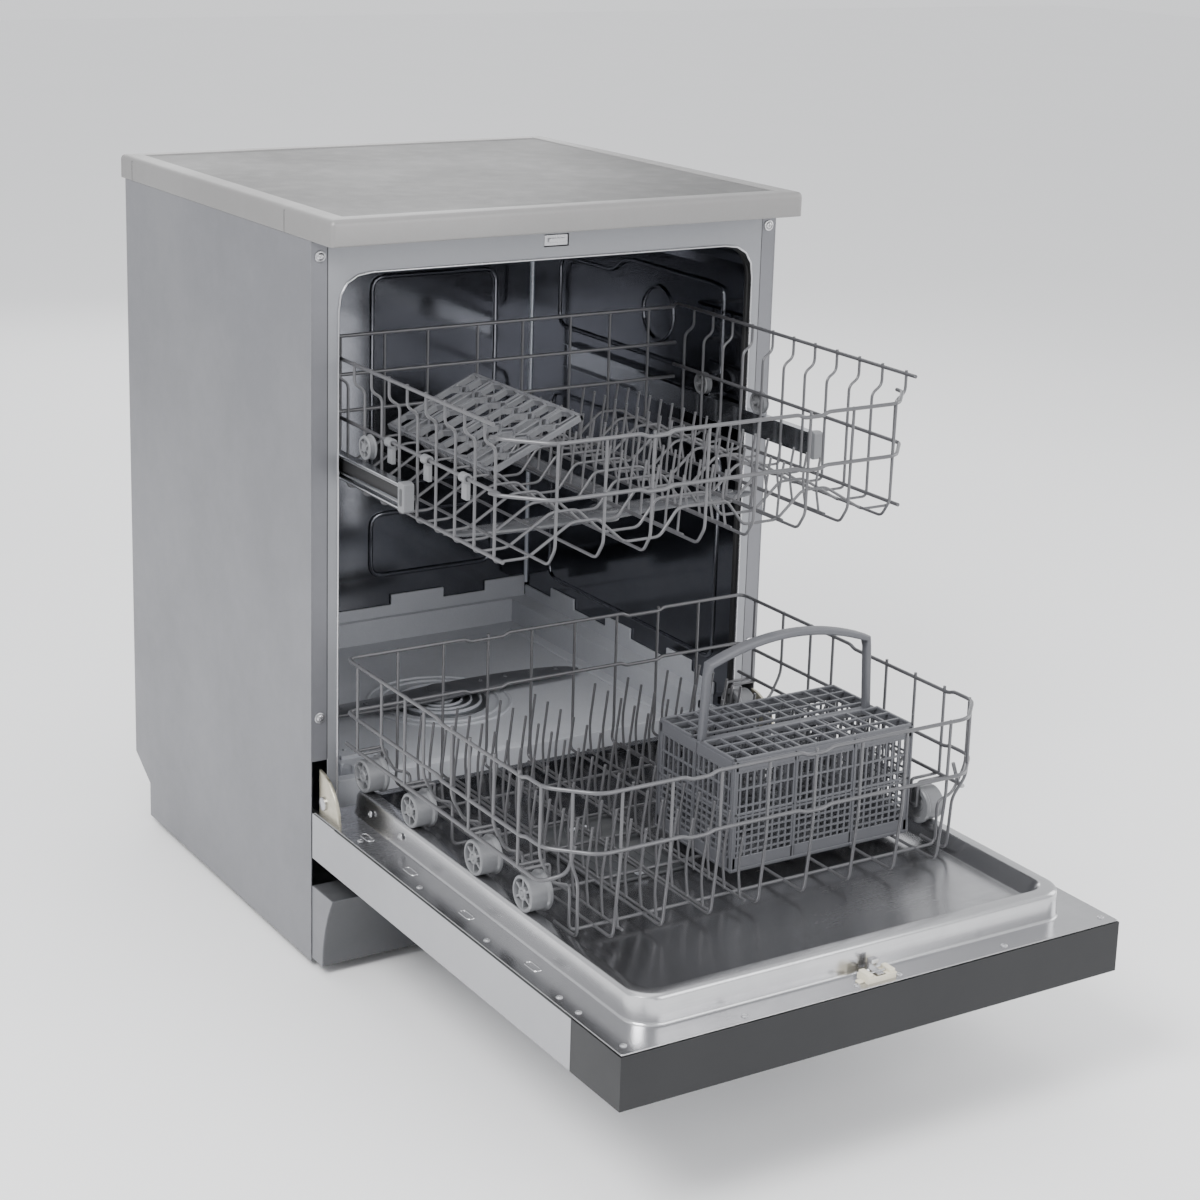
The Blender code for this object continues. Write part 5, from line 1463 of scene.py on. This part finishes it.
@dataclass
class CutleryBasket:
    """The lattice basket with two grid lids and an arched handle."""

    x: Flat = (-0.013, 0.218)
    y: Flat = (-0.639, -0.501)
    bottom: float = 0.2102
    top: float = 0.3297
    lid_top: float = 0.333
    handle_top: float = 0.439
    lid_gap: float = 0.008

    def build(self) -> None:
        """Build the basket and its lids."""
        (x0, x1), (y0, y1) = self.x, self.y
        width, depth, height = x1 - x0, y1 - y0, self.top - self.bottom
        middle = (y0 + y1) / 2
        walls = Shape()
        rows = [0.0, 0.012] + spread(0.02, 0.058, 6) + spread(0.07, height - 0.012, 3) + [height]
        upright = Matrix.Rotation(math.pi / 2, 4, "X")
        turned = Matrix.Rotation(math.pi / 2, 4, "Z") @ upright
        long_sides = [(width, 28, (x0, y, self.bottom), upright) for y in (y0 + 0.001, y1 - 0.001, middle)]
        short_sides = [(depth, 16, (x, y0, self.bottom), turned)
                       for x in (x0 + 0.001, x1 - 0.001, *self.partitions())]
        for length, count, corner, turn in long_sides + short_sides:
            window = Shape().lattice(spread(0.0, length, count), rows, 0.0011, 0.0009)
            walls.join(window, Matrix.Translation(corner) @ turn)
        floor = Shape().lattice(spread(0.0, width, 24), spread(0.0, depth, 15), 0.0016, 0.001)
        walls.join(floor, Matrix.Translation((x0, y0, self.bottom + 0.002)))
        walls.place("cutlery_basket_walls", GREY_PLASTIC, "lower_rack", "grey_plastic", ["cutlery_basket"],
                    merge=False)
        self.build_posts()
        self.build_handle(middle)
        for word, low, high in (("front", y0, middle - self.lid_gap), ("rear", middle + self.lid_gap, y1)):
            self.build_lid(word, low, high)

    def partitions(self) -> list[float]:
        """The x of the two inner walls."""
        x0, x1 = self.x
        return [x0 + (x1 - x0) * share for share in (0.34, 0.67)]

    def build_posts(self) -> None:
        """Build the solid corners, the upper band and the lower band."""
        (x0, x1), (y0, y1) = self.x, self.y
        solid = Shape()
        for x in (x0, x1 - 0.006):
            for y in (y0, y1 - 0.006):
                solid.box((x, y, self.bottom), (x + 0.006, y + 0.006, self.top))
        bands = ((self.bottom, self.bottom + 0.015, 0.0022), (self.top - 0.011, self.top, 0.0026),
                 (self.bottom + 0.06, self.bottom + 0.063, 0.002))
        for low, high, deep in bands:
            for y in (y0, y1 - deep):
                solid.box((x0, y, low), (x1, y + deep, high))
            for x in (x0, x1 - deep):
                solid.box((x, y0, low), (x + deep, y1, high))
        middle = (y0 + y1) / 2
        solid.box((x0, middle - 0.0045, self.top - 0.006), (x1, middle + 0.0045, self.top + 0.001))
        for x in self.partitions():
            solid.box((x - 0.003, y0, self.bottom), (x + 0.003, y0 + 0.003, self.top))
            solid.box((x - 0.003, y1 - 0.003, self.bottom), (x + 0.003, y1, self.top))
        solid.place("cutlery_basket_frame", GREY_PLASTIC, "lower_rack", "grey_plastic", bevel=0.0007,
                    merge=False)

    def build_handle(self, middle: float) -> None:
        """Build the arched handle with its flat legs.

        Args:
            middle: The y of the basket's middle.
        """
        left, right = self.x[0] + 0.009, self.x[1] - 0.012
        low, high = self.top - 0.01, self.handle_top - 0.008
        centre = (left + right) / 2
        span = (right - left) / 2
        path: list[tuple[float, float]] = [(left - 0.003, low), (left + 0.001, high - 0.03)]
        for t in spread(-1.0, 1.0, 19):
            path.append((centre + span * 0.97 * t, high - 0.02 * t * t))
        path += [(right - 0.001, high - 0.03), (right + 0.003, low)]
        rings = []
        for i, (x, z) in enumerate(path):
            before, after = path[max(0, i - 1)], path[min(len(path) - 1, i + 1)]
            along = Vector((after[0] - before[0], 0, after[1] - before[1])).normalized()
            across = Vector((-along.z, 0, along.x))
            leg = i < 2 or i > len(path) - 3
            wide, thick = (0.0044, 0.004) if leg else (0.0068, 0.0036)
            ring = []
            for a, b in rounded_box((-wide, -thick), (wide, thick), 0.0022, 4):
                ring.append(Vector((x, middle + a, z)) + across * b)
            rings.append(ring)
        handle = Shape()
        handle.loft(rings, caps=True)
        handle.place("cutlery_basket_handle", GREY_PLASTIC, "lower_rack", "grey_plastic")

    def build_lid(self, word: str, low: float, high: float) -> None:
        """Build one grid lid.

        Args:
            word: front or rear.
            low: Its low y.
            high: Its high y.
        """
        (x0, x1) = self.x
        width, depth = x1 - x0, high - low
        lid = Shape()
        lid.lattice(spread(0.0015, width - 0.0015, 12), spread(0.0015, depth - 0.0015, 4), 0.0014, 0.0013)
        matrix = Matrix.Translation((x0, low, self.lid_top - 0.0014))
        lid.place(f"{word}_lid_grid", GREY_PLASTIC, f"{word}_lid", "grey_plastic", [f"{word}_basket_lid"],
                  matrix=matrix, merge=False)
        rim = Shape()
        z0, z1 = self.lid_top - 0.0028, self.lid_top + 0.0002
        for y in (low, high - 0.003):
            rim.box((x0, y, z0), (x1, y + 0.003, z1))
        for x in (x0, x1 - 0.003):
            rim.box((x, low, z0), (x + 0.003, high, z1))
        rim.place(f"{word}_lid_rim", GREY_PLASTIC, f"{word}_lid", "grey_plastic", bevel=0.0006, merge=False)


@dataclass
class UpperRack:
    """The upper rack, which runs on the telescopic rails."""

    half: float = 0.245
    flare: float = 0.0125
    front: float = -0.595
    rear: float = -0.125
    top: float = 0.692
    front_top: float = 0.673
    mid: float = 0.617
    floor: float = 0.547
    tine: float = 0.06
    rear_rails: Flat = (0.648, 0.606)
    floor_wires: tuple[float, ...] = (-0.205, -0.15, -0.095, -0.03, 0.03, 0.095, 0.15, 0.205)
    tine_rows: tuple[Flat, ...] = ((-0.03, 0.004), (0.03, -0.004), (0.095, 0.004), (0.15, -0.004))
    roller_y: Flat = (-0.175, -0.29)
    roller_z: float = 0.6065
    hoops: tuple[float, ...] = field(default_factory=lambda: tuple(spread(-0.545, -0.145, 11)))

    def build(self) -> None:
        """Build the whole rack."""
        self.build_rails()
        self.build_hoops()
        self.build_tines()
        self.build_rollers()
        CupShelf().build()

    def build_rails(self) -> None:
        """Build the thick rails."""
        rails = Wires(0.0021, 0.012)
        x, out = self.half, self.half + self.flare
        for side in (-1, 1):
            rails.run([(side * out, self.front + 0.034, self.top - 0.002),
                       (side * out, self.rear + 0.02, self.top), (side * (out - 0.018), self.rear, self.top)])
            rails.run([(side * x, self.front + 0.042, self.mid + 0.001),
                       (side * x, self.rear + 0.002, self.mid + 0.004)])
            rails.run([(side * (x - 0.001), self.front + 0.034, self.floor + 0.004),
                       (side * (x - 0.001), self.rear + 0.004, self.floor + 0.006)])
        for z, dip in ((self.front_top, 0.0035), (self.mid, 0.003)):
            y, back = self.front, self.front + 0.042
            path = [(-x - 0.004, back + 0.012, z), (-x - 0.002, back, z), (-x + 0.036, y, z)]
            for start in (-0.11, 0.08):
                path += [(start, y, z), (start + 0.007, y, z - dip), (start + 0.03, y, z - dip),
                         (start + 0.037, y, z)]
            path += [(x - 0.036, y, z), (x + 0.002, back, z), (x + 0.004, back + 0.012, z)]
            rails.run(path)
        reach = out - 0.018
        rails.run([(-reach, self.rear, self.top), (reach, self.rear, self.top)])
        for z in self.rear_rails:
            rails.run([(-x, self.rear, z), (x, self.rear, z)])
        rails.place("upper_rack_rails", WIRE_COAT, "upper_rack", "coated_wire",
                    ["upper_rack_floor", "upper_rack_front", "upper_rack_left_side", "upper_rack_right_side"])

    def build_hoops(self) -> None:
        """Build the wires that run down, across in shallow Vs and up again, and the floor wires."""
        wires = Wires(0.0016, 0.006)
        x, out = self.half, self.half + self.flare
        low = self.floor
        high = low + 0.03
        for y in self.hoops:
            side = [(out, y, self.top + 0.002), (out, y, self.top - 0.022), (x, y, self.top - 0.03),
                    (x, y, low), (x - 0.038, y, low), (x - 0.088, y, high), (x - 0.118, y, high),
                    (x - 0.15, y, low + 0.002), (0.052, y, low + 0.002), (0.03, y, high)]
            path = [(-a, b, c) for a, b, c in side] + list(reversed(side))
            wires.run(path)
        for at in self.floor_wires:
            level = low + 0.002
            wires.run([(at, self.front, self.front_top + 0.002), (at, self.front + 0.002, low + 0.02),
                       (at, self.front + 0.014, level), (at, self.rear + 0.006, level + 0.002),
                       (at, self.rear, low + 0.018), (at, self.rear, self.top + 0.002)])
        wires.place("upper_rack_hoops", WIRE_COAT, "upper_rack", "coated_wire")

    def build_tines(self) -> None:
        """Build the rows of tines."""
        tines = Wires(0.0014, 0.004)
        base = self.floor + 0.004
        for x, lean in self.tine_rows:
            tines.run([(x, -0.555, base), (x, -0.14, base)])
            for y in spread(-0.545, -0.15, 18):
                tines.run([(x, y, base - 0.002), (x + lean, y + 0.003, base + 0.03),
                           (x + lean, y - 0.003, base + self.tine)], bend=0.012)
        tines.place("upper_rack_tines", WIRE_COAT, "upper_rack", "coated_wire")

    def build_rollers(self) -> None:
        """Build the small rollers that stand on the rails, with their axles."""
        for side, word in SIDES:
            rollers = Shape()
            for y in self.roller_y:
                centre = (0, y, self.roller_z)
                rim = [(0.2488, 0.01), (0.2488, 0.0128), (0.2502, 0.0138), (0.2512, 0.012), (0.256, 0.012),
                       (0.2568, 0.0132), (0.2582, 0.0126), (0.2582, 0.01)]
                rollers.turned([(side * a, r) for a, r in rim], centre, "x", 32, closed=True)
                hub = [(0.25, 0.0022), (0.25, 0.0046), (0.2586, 0.0046), (0.2586, 0.0022)]
                rollers.turned([(side * a, r) for a, r in hub], centre, "x", 24, closed=True)
                x0, x1 = ends(side, 0.251, 0.2575)
                rollers.spokes((x0, -0.0008, 0.004), (x1, 0.0008, 0.0104), centre, "X", 6)
                x0, x1 = ends(side, 0.244, 0.2588)
                rollers.turned([(x0, 0), (x0, 0.0021), (x1, 0.0021), (x1, 0)], centre, "x", 14)
            rollers.place(f"{word}_upper_rollers", ROLLER_PLASTIC, "upper_rack", "grey_plastic", merge=False)


@dataclass
class CupShelf:
    """The tilting shelf, a smoked honeycomb clipped to the rack's left side."""

    hinge_x: float = -0.233
    hinge_z: float = 0.628
    front: float = -0.515
    rear: float = -0.295
    length: float = 0.115
    tilt: float = 24.0
    depth: float = 0.0066
    cells: tuple[int, int] = (4, 8)
    wall: float = 0.8
    clip_x: float = -0.245

    def build(self) -> None:
        """Build the honeycomb, its border and its clips."""
        turn = Matrix.Translation((self.hinge_x, 0, self.hinge_z)) @ Matrix.Rotation(-math.radians(self.tilt),
                                                                                     4, "Y")
        comb = Shape()
        width = self.rear - self.front
        across, along = self.cells
        step_x, step_y = self.length / across, width / along
        for row in range(across):
            for column in range(along):
                shift = 0.5 * (row % 2)
                y = self.front + step_y * (column + 0.5 + shift * 0.5)
                x = step_x * (row + 0.5)
                cell = [(x + step_x * 0.66 * math.cos(math.radians(60 * k)),
                         y + step_y * 0.5 * math.sin(math.radians(60 * k)) / 0.866) for k in range(6)]
                cell = [(max(0.001, min(self.length - 0.001, a)),
                         max(self.front + 0.001, min(self.rear - 0.001, b))) for a, b in cell]
                hole = [(x + (a - x) * self.wall, y + (b - y) * self.wall) for a, b in cell]
                rings = []
                for z, ring in ((-self.depth / 2, cell), (self.depth / 2, cell), (self.depth / 2, hole),
                                (-self.depth / 2, hole)):
                    rings.append([(a, b, z) for a, b in ring])
                comb.loft(rings + rings[:1])
        comb.place("cup_shelf_comb", SMOKED, "cup_shelf", "light_plastic", ["cup_shelf"], bevel=0.0005,
                   matrix=turn, merge=False)
        border = Shape()
        half = self.depth / 2
        for y in (self.front, self.rear - 0.0035):
            border.box((0.0, y, -half), (self.length, y + 0.0035, half))
        for x in (self.length - 0.004, 0.0):
            border.box((x, self.front, -half), (x + 0.004, self.rear, half))
        for y in (self.front + 0.04, (self.front + self.rear) / 2, self.rear - 0.04):
            border.box((0.0, y - 0.0018, -half), (self.length, y + 0.0018, half))
        border.place("cup_shelf_border", SMOKED, "cup_shelf", "light_plastic", bevel=0.0008, matrix=turn,
                     merge=False)
        clips = Shape()
        for y in spread(self.front + 0.03, self.rear - 0.03, 3):
            clips.turned([(-0.006, 0.0028), (-0.006, 0.0052), (0.006, 0.0052), (0.006, 0.0028)],
                         (self.clip_x, y, 0.6185), "y", 20, closed=True)
            clips.box((-0.246, y - 0.0055, 0.596), (-0.2415, y + 0.0055, 0.615))
        clips.place("cup_shelf_clips", ROLLER_PLASTIC, "upper_rack", "light_plastic", bevel=0.0006,
                    merge=False)


@dataclass
class SprayArms:
    """The two rotating arms, each a hollow blade with jets and a hub."""

    thickness: float = 0.01
    lower: Point = (0.0, 0.01, 0.1965)
    upper: Point = (0.0, -0.36, 0.522)
    bend: float = 0.006
    jets: tuple[float, ...] = (-0.88, -0.7, -0.52, -0.34, 0.3, 0.48, 0.66, 0.84)

    def build(self) -> None:
        """Build both arms and their fixed supports."""
        self.arm("lower", self.lower, 0.203, 0.05, GREY_PLASTIC, "grey_plastic")
        self.arm("upper", self.upper, 0.2, 0.042, SMOKED, "light_plastic")
        pipe = Shape()
        pipe.turned([(0.0, 0.009), (0.014, 0.009), (0.016, 0.013), (0.0185, 0.013), (0.0185, 0)],
                    (0, -0.36, 0.5285), "z", 28)
        pipe.place("upper_arm_socket", SMOKED, "upper_rack", "light_plastic")
        feed = Wires(0.0095, 0.03)
        feed.run([(0.0, -0.345, 0.54), (0.0, -0.135, 0.54)])
        feed.place("upper_feed_pipe", SMOKED, "upper_rack", "light_plastic")

    def arm(self, word: str, centre: Point, length: float, width: float, finish: Finish, slot: str) -> None:
        """Build one arm.

        Args:
            word: lower or upper.
            centre: Where it turns.
            length: Centre to tip.
            width: Its width at the hub.
            finish: Its finish.
            slot: A slot name, handed on to the blade's place.
        """
        x, y, z = centre
        blade = Shape()
        rings = []
        for t in spread(-1.0, 1.0, 41):
            reach = abs(t)
            half = width / 2 * (1.0 - 0.42 * reach) * math.sqrt(max(0.02, 1 - reach ** 10))
            crown = self.thickness / 2 * (1.0 - 0.25 * reach) * math.sqrt(max(0.05, 1 - reach ** 10))
            sweep = self.bend * math.sin(math.pi * t)
            ring = [(x + length * t, y + sweep + half * math.cos(a),
                     z + crown * math.sin(a) * abs(math.sin(a)) ** -0.35 if abs(math.sin(a)) > 1e-6 else z)
                    for a in (2 * math.pi * i / 20 for i in range(20))]
            rings.append(ring)
        blade.loft(rings, caps=True)
        top = z + self.thickness / 2
        for t in self.jets:
            blade.turned([(-0.002, 0.0042), (0.0006, 0.0036), (0.0006, 0.0018), (-0.001, 0.0014)],
                         (x + length * t, y + self.bend * math.sin(math.pi * t), top), "z", 16)
        blade.turned([(-0.0062, 0), (-0.0062, 0.0165), (0.0062, 0.0165), (0.0064, 0.01), (0.0064, 0)], centre,
                     "z", 32)
        blade.place(f"{word}_arm_blade", finish, f"{word}_arm", slot, [f"{word}_spray_arm"], merge=False)


# ================================================================ studio
@dataclass(frozen=True)
class Lamp:
    """One soft light."""

    name: str
    place: Point
    target: Point
    size: float
    power: float
    colour: Point = (1.0, 1.0, 1.0)


@dataclass
class Studio:
    """A pale floor, soft lights and the camera."""

    azimuth: float = 31.3243
    elevation: float = 14.1465
    roll: float = 1.4309
    lens: float = 72.251
    eye: Point = (-1.3691, -2.4955, 1.2189)
    shift: Flat = (0.0404, -0.1167)
    floor_half: float = 14.0
    floor_tones: tuple[float, float] = (0.97, 0.94)
    sky: Point = (0.95, 0.96, 0.98)
    sky_strength: float = 1.15
    lamps: tuple[Lamp, ...] = (Lamp("key_light", (-2.0, -1.3, 2.6), (0.0, -0.1, 0.75), 1.3, 105.0),
                               Lamp("front_light", (0.9, -3.4, 1.7), (0.0, -0.4, 0.4), 2.0, 45.0),
                               Lamp("right_light", (3.0, -0.9, 1.4), (0.0, -0.3, 0.4), 1.8, 34.0),
                               Lamp("top_light", (0.0, 0.0, 3.2), (0.0, -0.2, 0.0), 2.4, 16.0),
                               Lamp("back_light", (1.0, 3.0, 1.8), (0.0, 0.0, 0.5), 2.0, 26.0),)

    def build(self) -> None:
        """Build all of it."""
        self.build_floor()
        self.build_lamps()
        self.build_camera()

    def build_floor(self) -> None:
        """Build the floor and the plain surroundings."""
        size = self.floor_half
        mesh = bpy.data.meshes.new("studio_floor")
        corners = [(-size, -size, 0), (size, -size, 0), (size, size, 0), (-size, size, 0)]
        mesh.from_pydata(corners, [], [(0, 1, 2, 3)])
        floor = bpy.data.objects.new("studio_floor", mesh)
        bpy.context.scene.collection.objects.link(floor)
        material = bpy.data.materials.new("pale_floor")
        material.use_nodes = True
        pad = NodePad(material.node_tree)
        shader = material.node_tree.nodes["Principled BSDF"]
        place = pad.place()
        noise = pad.add("ShaderNodeTexNoise", {"Vector": place, "Scale": 2.0, "Detail": 4.0})
        light, dark = self.floor_tones
        tone = pad.mix(noise.outputs["Fac"], (light, light, light, 1.0), (dark, dark, dark + 0.005, 1.0))
        pad.tree.links.new(tone, shader.inputs["Base Color"])
        shader.inputs["Roughness"].default_value = 0.7
        mesh.materials.append(material)
        world = bpy.data.worlds.new("studio")
        world.use_nodes = True
        background = world.node_tree.nodes["Background"]
        background.inputs["Color"].default_value = (*self.sky, 1.0)
        background.inputs["Strength"].default_value = self.sky_strength
        bpy.context.scene.world = world

    def build_lamps(self) -> None:
        """Build the lights."""
        for lamp in self.lamps:
            data = bpy.data.lights.new(lamp.name, "AREA")
            data.shape = "SQUARE"
            data.size = lamp.size
            data.energy = lamp.power
            data.color = lamp.colour
            obj = bpy.data.objects.new(lamp.name, data)
            obj.location = lamp.place
            aim = Vector(lamp.target) - Vector(lamp.place)
            obj.rotation_euler = aim.to_track_quat("-Z", "Y").to_euler()
            bpy.context.scene.collection.objects.link(obj)

    def build_camera(self) -> None:
        """Build the camera at its viewing angle."""
        az, el, roll = (math.radians(v) for v in (self.azimuth, self.elevation, self.roll))
        ahead = Vector((math.sin(az) * math.cos(el), math.cos(az) * math.cos(el), -math.sin(el)))
        right = ahead.cross(Vector((0, 0, 1))).normalized()
        up = right.cross(ahead)
        across = right * math.cos(roll) + up * math.sin(roll)
        upright = up * math.cos(roll) - right * math.sin(roll)
        data = bpy.data.cameras.new("camera")
        data.lens = self.lens
        data.sensor_width = 36.0
        data.shift_x, data.shift_y = self.shift
        camera = bpy.data.objects.new("camera", data)
        turn = Matrix((across, upright, -ahead)).transposed().to_4x4()
        camera.matrix_world = Matrix.Translation(self.eye) @ turn
        bpy.context.scene.collection.objects.link(camera)
        bpy.context.scene.camera = camera


def main() -> None:
    """Build the studio and every sub-assembly in order."""
    logging.basicConfig(level=logging.INFO, format="%(name)s: %(message)s")
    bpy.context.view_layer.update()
    for part in (Studio(), Worktop(), Cabinet(), Tub(), Door(), LowerRack(), CutleryBasket(), UpperRack(),
                 SprayArms()):
        part.build()
        log.info("%s done", type(part).__name__)


if __name__ == "__main__":
    main()
